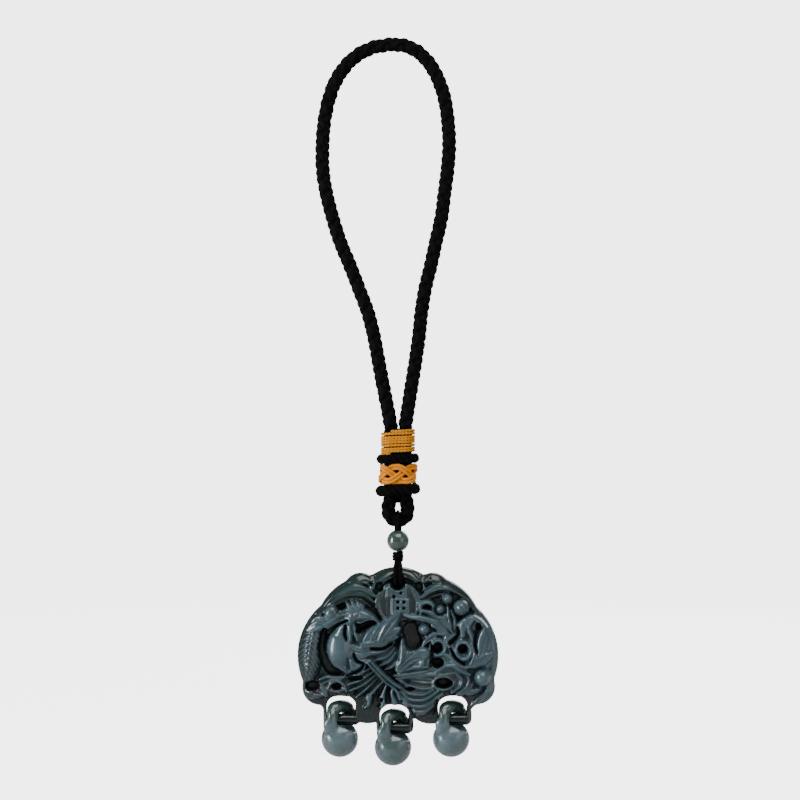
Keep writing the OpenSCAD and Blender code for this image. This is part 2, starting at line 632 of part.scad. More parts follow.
// Round the small loop, through the bead, a knot, and round the plate's rim
module bead_thread() {
    tie_turns = 3;
    ring_steps = 12;
    ring_points = [for (k = [0:ring_steps])
        let (a = k * 360 / ring_steps)
        [0, thread_ring_r * sin(a), bend_foot_z - thread_ring_r * cos(a)]];
    // The front pass clears the rim's carving, the back pass the plain back
    back_y = plate_t / 2 + thread_gap + thread_d / 2;
    front_pass = back_y + RIM[0][1] * relief_h;
    pair_x = (thread_d + thread_gap) / 2;
    rim_z = plate_top + thread_gap;
    shoulder_z = plate_top - edge_round;
    bend_in = thread_hole_z + thread_d;
    rim_points = [[0, tie_foot + thread_d / 2], [-0.7 * front_pass, rim_z],
                  [-front_pass, shoulder_z], [-front_pass, bend_in],
                  [-0.6 * front_pass, thread_hole_z], [0.5 * back_y, thread_hole_z], [back_y, bend_in],
                  [back_y, shoulder_z], [0.86 * back_y, rim_z], [0, tie_foot + thread_d / 2]];
    color(black) {
        thread_chain(ring_points);
        thread_chain([[0, 0, bend_foot_z - thread_ring_r], [0, 0, tie_top - tie_h / 2]]);
        for (side = [-1, 1])
            thread_chain([for (p = rim_points) [side * pair_x, p[0], p[1]]]);
        for (k = [0:tie_turns - 1])
            translate([0, 0, tie_foot + (k + 0.5) * tie_h / tie_turns])
                scale([tie_w, 0.8 * tie_w, 1.3 * tie_h / tie_turns])
                    sphere(d = 1, $fn = 12);
    }
}

module jade_bead() {
    color(jade_green)
        difference() {
            translate([0, 0, bead_z]) sphere(d = bead_d, $fn = 48);
            translate([0, 0, bead_z]) cylinder(h = 2 * bead_d, d = bead_hole_d, center = true, $fn = 32);
        }
}

cord_loop();
bound_cord();
upper_winding();
upper_black_turn();
gold_knot();
lower_black_turn();
bead_thread();
jade_bead();
jade_plate();
left_drop_ring();
middle_drop_ring();
right_drop_ring();
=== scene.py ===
import math

import bmesh
import bpy
import numpy as np
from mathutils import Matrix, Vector


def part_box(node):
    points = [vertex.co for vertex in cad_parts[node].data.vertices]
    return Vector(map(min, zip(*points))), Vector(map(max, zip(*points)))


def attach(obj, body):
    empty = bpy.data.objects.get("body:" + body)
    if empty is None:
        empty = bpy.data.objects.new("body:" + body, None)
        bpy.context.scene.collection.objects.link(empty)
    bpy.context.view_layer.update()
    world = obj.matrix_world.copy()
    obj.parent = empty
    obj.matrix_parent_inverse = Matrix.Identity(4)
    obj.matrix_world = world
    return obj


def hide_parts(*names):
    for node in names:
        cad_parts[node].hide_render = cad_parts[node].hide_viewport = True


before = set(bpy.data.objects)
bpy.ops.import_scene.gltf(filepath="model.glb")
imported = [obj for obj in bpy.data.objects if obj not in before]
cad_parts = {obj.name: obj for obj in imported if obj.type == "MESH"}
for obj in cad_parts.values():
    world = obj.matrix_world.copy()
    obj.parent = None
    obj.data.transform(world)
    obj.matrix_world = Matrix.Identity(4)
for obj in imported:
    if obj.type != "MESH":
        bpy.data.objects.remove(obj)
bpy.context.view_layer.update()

MM = 0.001

# The photograph's frame: one pixel on the pendant, and the point at its middle
PIXEL = 0.2953 * MM
PHOTO_PIXELS = 800
PHOTO_MIDDLE = Vector((0.59, 0, -102.8)) * MM
LENS = 100
SENSOR = 36

# The room round the pendant, and how bright the camera alone sees it
ROOM_GLOW = 4.0
FLOOR_Z = -0.236
BACKDROP_Y = 1.3
ROOM_HALF = 1.8
SWEEP = 0.25
SWEEP_STEPS = 8

# The lights: name, place, size and power, and the point that they look at
LIGHTS = [("window_left", (-0.50, -0.19, -0.12), (0.12, 0.40), 4.2),
          ("soft_top", (0.05, -0.30, 0.40), (0.5, 0.4), 2.6),
          ("fill_right", (0.45, -0.45, -0.05), (0.4, 0.5), 0.8),
          ("soft_back", (0.25, 0.60, 0.15), (0.5, 0.5), 2.2)]
LIT_POINT = Vector((0, 0, -0.16))
WORLD_LIGHT = 0.24

# The cord and what is wound round its two limbs, in millimetres as in the part
CORD_D = 4.0
CORD_GAP = 0.1
WRAP_GAP = 0.15
LIMB_X = (CORD_D + CORD_GAP) / 2
COLLAR_TOP = -111.0
CORD_ROUTE = [(-3.1, -105), (-4.5, -98), (-5.8, -91), (-7.1, -84), (-8.9, -77), (-11.5, -70),
              (-14.2, -63), (-17.1, -56), (-19.3, -49), (-21.1, -42), (-22.2, -35), (-22.3, -28),
              (-21.8, -21), (-20.4, -14), (-18.2, -8.2), (-14.4, -3), (-9.6, 0.4), (-4.4, 1.9),
              (1, 2), (5.6, 0.2), (9.4, -3.6), (12, -8.4), (13.8, -14), (14.8, -21), (15.1, -28),
              (14.6, -35), (13.7, -42), (12.8, -49), (11.2, -56), (9.7, -63), (8, -70), (6.9, -77),
              (6.2, -84), (5.2, -91), (4.1, -98), (3, -105)]


def corners(node):
    """A node's lowest and highest corners in millimetres."""
    low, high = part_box(node)
    return low / MM, high / MM


# Curves and cords


def smooth_points(route, steps):
    """Points of a smooth curve through the route, steps of them between two of its points."""
    points = [Vector(p) for p in route]
    ahead = [points[0] * 2 - points[1]] + points + [points[-1] * 2 - points[-2]]
    result = []
    for a, b, c, d in zip(ahead, ahead[1:], ahead[2:], ahead[3:]):
        for step in range(steps):
            u = step / steps
            result.append(0.5 * (2 * b + (c - a) * u + (2 * a - 5 * b + 4 * c - d) * u * u
                                 + (3 * b - a - 3 * c + d) * u ** 3))
    return result + [points[-1]]


def even_points(points, gap):
    """The same line with its points evenly spaced, about a given gap apart."""
    lengths = [(b - a).length for a, b in zip(points, points[1:])]
    count = max(2, round(sum(lengths) / gap))
    result = [points[0].copy()]
    step = sum(lengths) / count
    index, start = 0, 0.0
    for number in range(1, count):
        done = number * step
        while index < len(lengths) - 1 and start + lengths[index] < done:
            start += lengths[index]
            index += 1
        share = (done - start) / max(lengths[index], 1e-9)
        result.append(points[index].lerp(points[index + 1], share))
    return result + [points[-1].copy()]


def line_frames(points, closed=False):
    """A direction and two crosswise directions at each point, without twist."""
    count = len(points)
    result = []
    across = None
    for i in range(count):
        if closed:
            way = points[(i + 1) % count] - points[i - 1]
        else:
            way = points[min(i + 1, count - 1)] - points[max(i - 1, 0)]
        way = way.normalized()
        if across is None:
            across = Vector((0, 1, 0)) if abs(way.y) < 0.9 else Vector((1, 0, 0))
        across = (across - way * across.dot(way)).normalized()
        result.append((way, across, way.cross(across)))
    return result


def tubes(name, lines, radius, material, closed=False, sides=8, radii=None):
    """Round tubes along lines of points in millimetres, as one mesh with its own UV map."""
    data = bpy.data.curves.new(name, "CURVE")
    data.dimensions = "3D"
    data.bevel_depth = radius * MM
    data.bevel_resolution = sides // 2 - 2
    data.use_fill_caps = not closed
    for line in lines:
        spline = data.splines.new("POLY")
        spline.points.add(len(line) - 1)
        spline.use_cyclic_u = closed
        for index, point in enumerate(line):
            spline.points[index].co = (*(point * MM), 1)
            if radii:
                spline.points[index].radius = radii[index]
    source = bpy.data.objects.new(name + "_curve", data)
    bpy.context.scene.collection.objects.link(source)
    graph = bpy.context.evaluated_depsgraph_get()
    mesh = bpy.data.meshes.new_from_object(source.evaluated_get(graph))
    bpy.data.objects.remove(source)
    mesh.name = name
    mesh.materials.clear()
    piece = add_piece(name, mesh, material)
    close_mesh(piece)
    return piece


def add_piece(name, mesh, material):
    """A new object at the origin with smooth faces and one material."""
    piece = bpy.data.objects.new(name, mesh)
    bpy.context.scene.collection.objects.link(piece)
    mesh.materials.append(material)
    mesh.shade_smooth()
    return piece


def close_mesh(piece, gap=1e-7):
    """Merges doubles and turns every face outward."""
    work = bmesh.new()
    work.from_mesh(piece.data)
    bmesh.ops.remove_doubles(work, verts=work.verts, dist=gap)
    bmesh.ops.recalc_face_normals(work, faces=work.faces)
    work.to_mesh(piece.data)
    work.free()


def join(name, pieces):
    """Joins pieces into the first one, under a new name."""
    with bpy.context.temp_override(active_object=pieces[0], selected_editable_objects=pieces):
        bpy.ops.object.join()
    pieces[0].name = name
    pieces[0].data.name = name
    return pieces[0]


def apply_modifiers(piece):
    """Makes the shape that a piece's modifiers give it its own mesh."""
    graph = bpy.context.evaluated_depsgraph_get()
    done = bpy.data.meshes.new_from_object(piece.evaluated_get(graph))
    piece.modifiers.clear()
    piece.data = done


def finish_piece(piece, body, node):
    """Lets a piece ride on its body and hides the node that it stands for."""
    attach(piece, body)
    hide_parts(node)


# Material building


def new_material(name):
    """A material, its node tree and its shader."""
    material = bpy.data.materials.new(name)
    material.use_nodes = True
    tree = material.node_tree
    return material, tree, tree.nodes["Principled BSDF"]


def new_group(name, inputs, outputs):
    """A shader node group with its sockets by name and kind, and its two end nodes."""
    tree = bpy.data.node_groups.new(name, "ShaderNodeTree")
    for in_out, sockets in (("INPUT", inputs), ("OUTPUT", outputs)):
        for socket, kind in sockets.items():
            tree.interface.new_socket(socket, in_out=in_out, socket_type="NodeSocket" + kind)
    return tree, tree.nodes.new("NodeGroupInput"), tree.nodes.new("NodeGroupOutput")


def put(tree, socket, value):
    """Feeds an input from a socket, or sets it to a plain value."""
    if isinstance(value, bpy.types.NodeSocket):
        tree.links.new(value, socket)
    else:
        socket.default_value = value


def mix_colours(tree, factor, first, second):
    """A colour mix. Each argument is a socket or a plain value."""
    node = tree.nodes.new("ShaderNodeMix")
    node.data_type = "RGBA"
    for index, value in ((0, factor), (6, first), (7, second)):
        put(tree, node.inputs[index], value)
    return node.outputs[2]


def remap(tree, value, low, high, new_low=0.0, new_high=1.0, smooth=False):
    """A number moved from one range to another and held inside it."""
    node = tree.nodes.new("ShaderNodeMapRange")
    node.interpolation_type = "SMOOTHSTEP" if smooth else "LINEAR"
    for socket, number in zip(node.inputs, (value, low, high, new_low, new_high)):
        put(tree, socket, number)
    return node.outputs[0]


def math_node(tree, operation, first, second=0.0):
    """One sum. Each argument is a socket or a number."""
    node = tree.nodes.new("ShaderNodeMath")
    node.operation = operation
    for socket, value in zip(node.inputs, (first, second)):
        put(tree, socket, value)
    return node.outputs[0]


def noise(tree, scale, detail, roughness=0.5, distortion=0.0):
    """Noise over the object's own coordinates."""
    place = tree.nodes.new("ShaderNodeTexCoord")
    node = tree.nodes.new("ShaderNodeTexNoise")
    tree.links.new(place.outputs["Object"], node.inputs["Vector"])
    for name, value in (("Scale", scale), ("Detail", detail), ("Roughness", roughness),
                        ("Distortion", distortion)):
        node.inputs[name].default_value = value
    return node.outputs["Fac"]


def attribute(tree, name):
    """A number that the mesh carries for each of its vertices."""
    node = tree.nodes.new("ShaderNodeAttribute")
    node.attribute_name = name
    return node.outputs["Fac"]


def use_group(tree, group, **values):
    """A group node with the values of its inputs, by name."""
    node = tree.nodes.new("ShaderNodeGroup")
    node.node_tree = group
    for key, value in values.items():
        node.inputs[key.replace("_", " ")].default_value = value
    return node


def bump(tree, shader, height, distance):
    """A bump from a height socket, with its distance in metres."""
    node = tree.nodes.new("ShaderNodeBump")
    node.inputs["Strength"].default_value = 1.0
    node.inputs["Distance"].default_value = distance
    tree.links.new(height, node.inputs["Height"])
    tree.links.new(node.outputs["Normal"], shader.inputs["Normal"])


def stone_cloud_group():
    """Clouds, veins and polish marks of jade over the object's own coordinates."""
    tree, start, end = new_group(
        "stone_clouds",
        {"Light": "Color", "Deep": "Color", "Green": "Color", "Green Share": "Float"},
        {"Color": "Color", "Roughness": "Float", "Height": "Float"})
    cloud = noise(tree, 130.0, 5.0, roughness=0.6)
    cloud_share = remap(tree, cloud, 0.38, 0.64, smooth=True)
    base = mix_colours(tree, cloud_share, start.outputs["Deep"], start.outputs["Light"])
    vein = math_node(tree, "SUBTRACT", noise(tree, 300.0, 6.0, distortion=1.6), 0.5)
    vein_share = remap(tree, math_node(tree, "ABSOLUTE", vein), 0.0, 0.035, 0.22, 0.0, smooth=True)
    veined = mix_colours(tree, vein_share, base, start.outputs["Deep"])
    patch_share = remap(tree, noise(tree, 70.0, 2.0), 0.46, 0.66, smooth=True)
    green_share = math_node(tree, "MULTIPLY", patch_share, start.outputs["Green Share"])
    coloured = mix_colours(tree, green_share, veined, start.outputs["Green"])
    tree.links.new(coloured, end.inputs["Color"])
    tree.links.new(remap(tree, cloud, 0.3, 0.7, 0.15, 0.24), end.inputs["Roughness"])
    tree.links.new(noise(tree, 2200.0, 3.0), end.inputs["Height"])
    return tree


def thread_twist_group():
    """Slanted fibre lines of a twisted or braided thread, from its own UV map."""
    tree, start, end = new_group("thread_twist", {"Turns": "Float", "Fibres": "Float"},
                                 {"Lines": "Float"})
    place = tree.nodes.new("ShaderNodeUVMap")
    split = tree.nodes.new("ShaderNodeSeparateXYZ")
    tree.links.new(place.outputs["UV"], split.inputs[0])
    along = math_node(tree, "MULTIPLY", split.outputs["X"], start.outputs["Turns"])
    round_it = math_node(tree, "ADD", along, split.outputs["Y"])
    spread = math_node(tree, "MULTIPLY", round_it, start.outputs["Fibres"])
    wave = math_node(tree, "SINE", math_node(tree, "MULTIPLY", spread, 2 * math.pi))
    tree.links.new(remap(tree, wave, -1.0, 1.0, smooth=True), end.inputs["Lines"])
    return tree


STONE_CLOUDS = stone_cloud_group()
THREAD_TWIST = thread_twist_group()


def polish(shader, coat, coat_roughness, ior):
    """The gloss and the faint translucence of polished jade."""
    for name, value in (("IOR", ior), ("Coat Weight", coat), ("Coat Roughness", coat_roughness),
                        ("Subsurface Weight", 0.25), ("Subsurface Radius", (0.5, 0.8, 0.9)),
                        ("Subsurface Scale", 0.0012)):
        shader.inputs[name].default_value = value


def carved_jade_material():
    """Jade pale on its raised forms, with painted shade in its low parts and crevices and painted
    ridge highlights.
    """
    material, tree, shader = new_material("carved_jade")
    clouds = use_group(tree, STONE_CLOUDS, Light=(0.060, 0.103, 0.124, 1),
                       Deep=(0.034, 0.063, 0.078, 1), Green=(0.018, 0.054, 0.043, 1),
                       Green_Share=0.4)
    hollow = attribute(tree, "hollow")
    place = tree.nodes.new("ShaderNodeTexCoord")
    split = tree.nodes.new("ShaderNodeSeparateXYZ")
    tree.links.new(place.outputs["Object"], split.inputs[0])
    patch_share = remap(tree, noise(tree, 110.0, 2.0), 0.42, 0.62, smooth=True)
    ground = mix_colours(tree, patch_share, (0.008, 0.018, 0.018, 1), (0.018, 0.016, 0.022, 1))
    rimmed = mix_colours(tree, attribute(tree, "margin"), ground, (0.005, 0.015, 0.016, 1))
    # Painted highlight: the plate's right side is made paler and bluer.
    side_share = remap(tree, split.outputs["X"], 0.020, 0.027, smooth=True)
    right_side_lit = mix_colours(tree, side_share, rimmed, (0.060, 0.100, 0.118, 1))
    top_share = remap(tree, split.outputs["Z"], -0.167, -0.156, smooth=True)
    low = mix_colours(tree, top_share, right_side_lit, (0.006, 0.021, 0.018, 1))
    # Painted shade, partly: the low parts of the carving take the dark ground colour by their
    # height, which paints the shade of the recesses; the ground's purple and green patches are the
    # stone's own colour.
    raised_share = remap(tree, attribute(tree, "height"), 0.22, 0.62, smooth=True)
    coloured = mix_colours(tree, raised_share, low, clouds.outputs["Color"])
    # Painted shade: the crevices, and the mouth of the thread's hole, turn nearly black.
    crevice = remap(tree, hollow, 0.12, 1.0, smooth=True)
    shaded = mix_colours(tree, crevice, coloured, (0.003, 0.007, 0.008, 1))
    # Painted highlight: the ridges, where the hollow measure falls below zero, are made paler.
    edge = remap(tree, hollow, -0.45, -0.12, 1.0, 0.0, smooth=True)
    edge_share = math_node(tree, "MULTIPLY", edge, 0.35)
    edge_highlighted = mix_colours(tree, edge_share, shaded, (0.105, 0.160, 0.178, 1))
    tree.links.new(edge_highlighted, shader.inputs["Base Color"])
    dull = remap(tree, hollow, 0.1, 0.7, 0.0, 0.6)
    roughness = math_node(tree, "MAXIMUM", clouds.outputs["Roughness"], dull)
    tree.links.new(roughness, shader.inputs["Roughness"])
    bump(tree, shader, clouds.outputs["Height"], 0.00003)
    polish(shader, 0.3, 0.1, 1.46)
    tree.links.new(remap(tree, hollow, 0.05, 0.5, 0.3, 0.0), shader.inputs["Coat Weight"])
    return material


def smooth_jade_material(name, light, deep, green):
    """Polished jade of the drops or the bead, with painted shade that makes the top of each drop
    darker and greener.
    """
    material, tree, shader = new_material(name)
    clouds = use_group(tree, STONE_CLOUDS, Light=light, Deep=deep, Green=green, Green_Share=0.5)
    # Painted shade: the top of each drop, which hangs in the plate's opening, is made darker and
    # greener.
    crown_share = remap(tree, attribute(tree, "crown"), 0.15, 0.95, smooth=True)
    coloured = mix_colours(tree, crown_share, clouds.outputs["Color"], (0.022, 0.054, 0.047, 1))
    tree.links.new(coloured, shader.inputs["Base Color"])
    tree.links.new(clouds.outputs["Roughness"], shader.inputs["Roughness"])
    bump(tree, shader, clouds.outputs["Height"], 0.00002)
    polish(shader, 0.7, 0.07, 1.55)
    return material


def thread_material(name, colours, turns, fibres, roughness, depth, gloss):
    """Twisted thread whose fibre lines follow its own UV map, in a light colour on the fibres and a
    dark one, painted shade, in the grooves between them.
    """
    light, dark = colours
    material, tree, shader = new_material(name)
    lines = use_group(tree, THREAD_TWIST, Turns=turns, Fibres=fibres)
    fuzz = noise(tree, 900.0, 4.0)
    uneven = remap(tree, fuzz, 0.35, 0.7, 0.55, 1.0)
    share = math_node(tree, "MULTIPLY", lines.outputs["Lines"], uneven)
    # Painted shade: the dark colour fills the grooves between the fibre lines.
    tree.links.new(mix_colours(tree, share, dark, light), shader.inputs["Base Color"])
    rough = remap(tree, fuzz, 0.3, 0.7, roughness - 0.08, roughness + 0.08)
    tree.links.new(rough, shader.inputs["Roughness"])
    bump(tree, shader, share, depth)
    shader.inputs["Specular IOR Level"].default_value = gloss
    return material


CARVED_JADE = carved_jade_material()
SMOOTH_JADE = smooth_jade_material("polished_jade", (0.092, 0.145, 0.166, 1),
                                   (0.058, 0.096, 0.110, 1), (0.028, 0.066, 0.054, 1))
BEAD_JADE = smooth_jade_material("bead_jade", (0.058, 0.098, 0.086, 1),
                                 (0.030, 0.055, 0.048, 1), (0.018, 0.046, 0.034, 1))
# Each thread's light colour and its darker copy, which is painted shade in the grooves between
# fibres.
BLACK_FIBRE = ((0.003, 0.003, 0.0035, 1), (0.0006, 0.0006, 0.0006, 1))
PALE_GOLD = ((1.0, 0.46, 0.004, 1), (0.62, 0.20, 0.001, 1))
DEEP_GOLD = ((1.0, 0.36, 0.0, 1), (0.60, 0.17, 0.0, 1))
CORD_BLACK = thread_material("braided_cord", BLACK_FIBRE, 90, 9, 0.75, 0.00006, 0.08)
THREAD_BLACK = thread_material("black_thread", BLACK_FIBRE, 12, 6, 0.75, 0.00004, 0.08)
GOLD_PALE = thread_material("gold_winding", PALE_GOLD, 150, 4, 0.45, 0.00006, 0.3)
GOLD_DEEP = thread_material("gold_knot_strand", DEEP_GOLD, 24, 7, 0.4, 0.00005, 0.25)


# The camera, the room and its lights


def add_camera():
    """The camera at the photograph's viewing angle, straight in front."""
    data = bpy.data.cameras.new("photo_camera")
    data.lens = LENS
    data.sensor_width = SENSOR
    data.clip_start = 0.01
    camera = bpy.data.objects.new("photo_camera", data)
    distance = PHOTO_PIXELS * PIXEL * LENS / SENSOR
    camera.location = PHOTO_MIDDLE - Vector((0, distance, 0))
    camera.rotation_euler = (math.pi / 2, 0, 0)
    bpy.context.scene.collection.objects.link(camera)
    bpy.context.scene.camera = camera


def camera_glow(tree, socket, others):
    """Gives a strength the room's glow for the camera, and another for all other rays."""
    seen = tree.nodes.new("ShaderNodeLightPath")
    tree.links.new(remap(tree, seen.outputs["Is Camera Ray"], 0.0, 1.0, others, ROOM_GLOW), socket)


def add_room():
    """A pale floor that sweeps up into a pale backdrop, with one material."""
    material, tree, shader = new_material("pale_paper")
    fleck = noise(tree, 40.0, 3.0)
    paper = mix_colours(tree, fleck, (0.60, 0.60, 0.60, 1), (0.63, 0.63, 0.63, 1))
    tree.links.new(paper, shader.inputs["Base Color"])
    shader.inputs["Roughness"].default_value = 0.9
    shader.inputs["Emission Color"].default_value = (1, 1, 1, 1)
    camera_glow(tree, shader.inputs["Emission Strength"], 0.0)
    work = bmesh.new()
    start_y = BACKDROP_Y - SWEEP
    profile = [(-ROOM_HALF, FLOOR_Z), (start_y, FLOOR_Z)]
    for step in range(1, SWEEP_STEPS + 1):
        turn = step / SWEEP_STEPS * math.pi / 2
        profile.append((start_y + SWEEP * math.sin(turn), FLOOR_Z + SWEEP * (1 - math.cos(turn))))
    profile.append((BACKDROP_Y, FLOOR_Z + 2 * ROOM_HALF))
    edge = [work.verts.new((-ROOM_HALF, y, z)) for y, z in profile]
    lines = [work.edges.new(pair) for pair in zip(edge, edge[1:])]
    wide = bmesh.ops.extrude_edge_only(work, edges=lines)
    moved = [v for v in wide["geom"] if isinstance(v, bmesh.types.BMVert)]
    bmesh.ops.translate(work, verts=moved, vec=(2 * ROOM_HALF, 0, 0))
    mesh = bpy.data.meshes.new("room")
    work.to_mesh(mesh)
    work.free()
    add_piece("room", mesh, material)


def add_light(name, place, size, power):
    """A soft rectangular light that looks at the plate."""
    data = bpy.data.lights.new(name, "AREA")
    data.shape = "RECTANGLE"
    data.size, data.size_y = size
    data.energy = power
    light = bpy.data.objects.new(name, data)
    light.location = place
    light.rotation_euler = (LIT_POINT - Vector(place)).to_track_quat("-Z", "Y").to_euler()
    bpy.context.scene.collection.objects.link(light)


def add_lights():
    """A tall window on the left, soft lights from the top and the back, and a weak fill."""
    for name, place, size, power in LIGHTS:
        add_light(name, place, size, power)
    world = bpy.data.worlds.new("pale_room")
    world.use_nodes = True
    background = world.node_tree.nodes["Background"]
    background.inputs["Color"].default_value = (1, 1, 1, 1)
    camera_glow(world.node_tree, background.inputs["Strength"], WORLD_LIGHT)
    bpy.context.scene.world = world


add_camera()
add_room()
add_lights()


# The braided cord


def run_lengths(centre):
    """The distance along a line of points at each of them."""
    lengths = [0.0]
    for a, b in zip(centre, centre[1:]):
        lengths.append(lengths[-1] + (b - a).length)
    return lengths


# The soft braid's thickness beside its measured one, and its strands as shares of that: how
# thick a strand is, how far it dips under the next one, and the radius of the core
BRAID_FULLNESS = 1.17
STRAND_SHARE = 0.42
WEAVE_SHARE = 0.07
CORE_SHARE = 0.34
STRANDS_EACH_WAY = 3

# The radius of each ply as a share of the thread's, by the number of plies
PLY_SHARE = {2: 0.53, 3: 0.5}


def braid(name, centre, pitch):
    """Strands of both hands that cross over and under each other round a filled core."""
    braid_d = CORD_D * BRAID_FULLNESS
    strand_d = STRAND_SHARE * braid_d
    swing = (braid_d - strand_d) / 2
    lines = []
    for strand in range(2 * STRANDS_EACH_WAY):
        hand = 1 if strand % 2 == 0 else -1
        start = (strand // 2) * 2 * math.pi / STRANDS_EACH_WAY
        line = []
        for point, run, (_, across, up) in zip(centre, run_lengths(centre), line_frames(centre)):
            angle = start + hand * 2 * math.pi * run / pitch
            under = hand * math.cos(STRANDS_EACH_WAY * angle) - 1
            lift = swing + WEAVE_SHARE * braid_d * under
            line.append(point + (across * math.cos(angle) + up * math.sin(angle)) * lift)
        lines.append(line)
    strands = tubes(name + "_strands", lines, strand_d / 2, CORD_BLACK)
    core = tubes(name + "_core", [centre], CORE_SHARE * braid_d, CORD_BLACK)
    return join(name, [strands, core])


def twisted(name, centre, thread_d, pitch, material, closed=False, sides=8, plies=2):
    """Plies laid round each other along a line of points."""
    ply_r = thread_d / 2 * PLY_SHARE[plies]
    swing = thread_d / 2 - ply_r
    lengths = run_lengths(centre)
    whole = lengths[-1] + ((centre[0] - centre[-1]).length if closed else 0)
    turns = max(1, round(whole / pitch)) / whole if closed else 1 / pitch
    lines = []
    for ply in range(plies):
        line = []
        for point, run, (_, across, up) in zip(centre, lengths, line_frames(centre, closed)):
            angle = 2 * math.pi * (turns * run + ply / plies)
            line.append(point + (across * math.cos(angle) + up * math.sin(angle)) * swing)
        lines.append(line)
    return tubes(name, lines, ply_r, material, closed=closed, sides=sides)


def cord_loop():
    """The loop that the pendant hangs by, a braid of its real length."""
    route = [(-LIMB_X, COLLAR_TOP)] + CORD_ROUTE + [(LIMB_X, COLLAR_TOP)]
    centre = even_points(smooth_points([(x, 0, z) for x, z in route], 6), 0.45)
    piece = braid("cord_braid", centre, 13.5)
    finish_piece(piece, "pendant", "cord_loop")


cord_loop()


# The collar and the small loop below it

# From the middle of a limb to the inside of the collar, and how far threads keep clear
INNER_WALL = CORD_D / 2 + WRAP_GAP
THREAD_GAP = 0.12
# A black turn's plies and its heart, as shares of its height
TURN_PLIES = 1.45
TURN_HEART = 0.56


def spot_round_limbs(share, wall, out):
    """The x and y of a spot round both limbs, by its share of the way along a wall from the left
    of the front, and its distance from the limbs' middles."""
    straight = 2 * LIMB_X
    arc = math.pi * wall
    run = (share % 1.0) * 2 * (straight + arc)
    if run < straight:
        return -LIMB_X + run, -out
    if run < straight + arc:
        angle = (run - straight) / wall - math.pi / 2
        return LIMB_X + out * math.cos(angle), out * math.sin(angle)
    if run < 2 * straight + arc:
        return LIMB_X - (run - straight - arc), out
    angle = (run - 2 * straight - arc) / wall + math.pi / 2
    return -LIMB_X + out * math.cos(angle), out * math.sin(angle)


def round_limbs(wall, turns, steps):
    """Spots all round both limbs, as the number of turns done, x and y."""
    shares = [step / steps for step in range(steps * turns)]
    return [(share, *spot_round_limbs(share, wall, wall)) for share in shares]


def small_loop():
    """The two braided limbs inside the collar and the loop that joins them below it."""
    low, high = corners("bound_cord")
    collar_foot = corners("lower_black_turn")[0].z
    bend_x = high.x - CORD_D / 2
    bend_z = low.z + CORD_D / 2 + bend_x
    spread = 3.2
    side = [(LIMB_X, high.z - 0.4), (LIMB_X, (high.z + collar_foot) / 2), (LIMB_X, collar_foot),
            ((LIMB_X + bend_x) / 2, collar_foot - spread / 2), (bend_x, collar_foot - spread)]
    bend = [(bend_x * math.cos(a), bend_z - bend_x * math.sin(a))
            for a in (math.pi * k / 12 for k in range(13))]
    route = side + bend + [(-x, z) for x, z in reversed(side)]
    centre = even_points(smooth_points([(x, 0, z) for x, z in route], 4), 0.4)
    limbs = braid("small_loop_braid", centre, 13.0)
    filling_top, filling_foot = high.z - 0.6, collar_foot - 2.3
    between = [Vector((0, 0, filling_top - (filling_top - filling_foot) * k / 8)) for k in range(9)]
    filling = tubes("filling_between", [between], 1.5, CORD_BLACK, radii=[1.0] * 7 + [0.9, 0.55])
    piece = join("small_loop_braid", [limbs, filling])
    finish_piece(piece, "pendant", "bound_cord")


def gold_winding():
    """Eight turns of twisted gold thread, unevenly spaced and drawn up a little on the right."""
    low, high = corners("upper_winding")
    turns = 8
    thread_d = 0.78
    wall = INNER_WALL + thread_d / 2 + THREAD_GAP
    lean = 0.08
    slant = lean * (LIMB_X + wall)
    room = high.z - low.z + 0.5 - thread_d - 2 * slant
    slack = [0, -0.3, 0.4, 0.1, -0.1, 0.0, 0.5, 0.2, 0.0]
    centre = []
    for done, x, y in round_limbs(wall, turns, 140):
        turn = int(done)
        loose = slack[turn] + (slack[turn + 1] - slack[turn]) * (done - turn)
        drop = thread_d / 2 + slant + room * (done + 0.5 * loose) / turns
        centre.append(Vector((x, y, high.z - drop + lean * x)))
    piece = twisted("gold_winding", centre, thread_d * 1.1, 2.0, GOLD_PALE, sides=6)
    finish_piece(piece, "pendant", "upper_winding")


def black_turn(name, node, lean, bulge):
    """One fat round of black cord about the collar, three plies round a heart, fuller at its
    sides."""
    low, high = corners(node)
    middle = (low.z + high.z) / 2
    tall = high.z - low.z - 2 * abs(lean) * high.x
    deep = high.y - INNER_WALL
    centre = []
    for _, x, y in round_limbs(INNER_WALL + deep / 2, 1, 110):
        full = bulge * max(0.0, abs(x) / high.x - 0.6)
        centre.append(Vector((x * (1 + full), y, middle + lean * x)))
    plies = twisted(name + "_plies", centre, tall * TURN_PLIES, 5.0, CORD_BLACK, closed=True,
                    plies=3)
    heart = tubes(name + "_heart", [centre], tall * TURN_HEART, CORD_BLACK, closed=True)
    piece = join(name, [plies, heart])
    finish_piece(piece, "pendant", node)


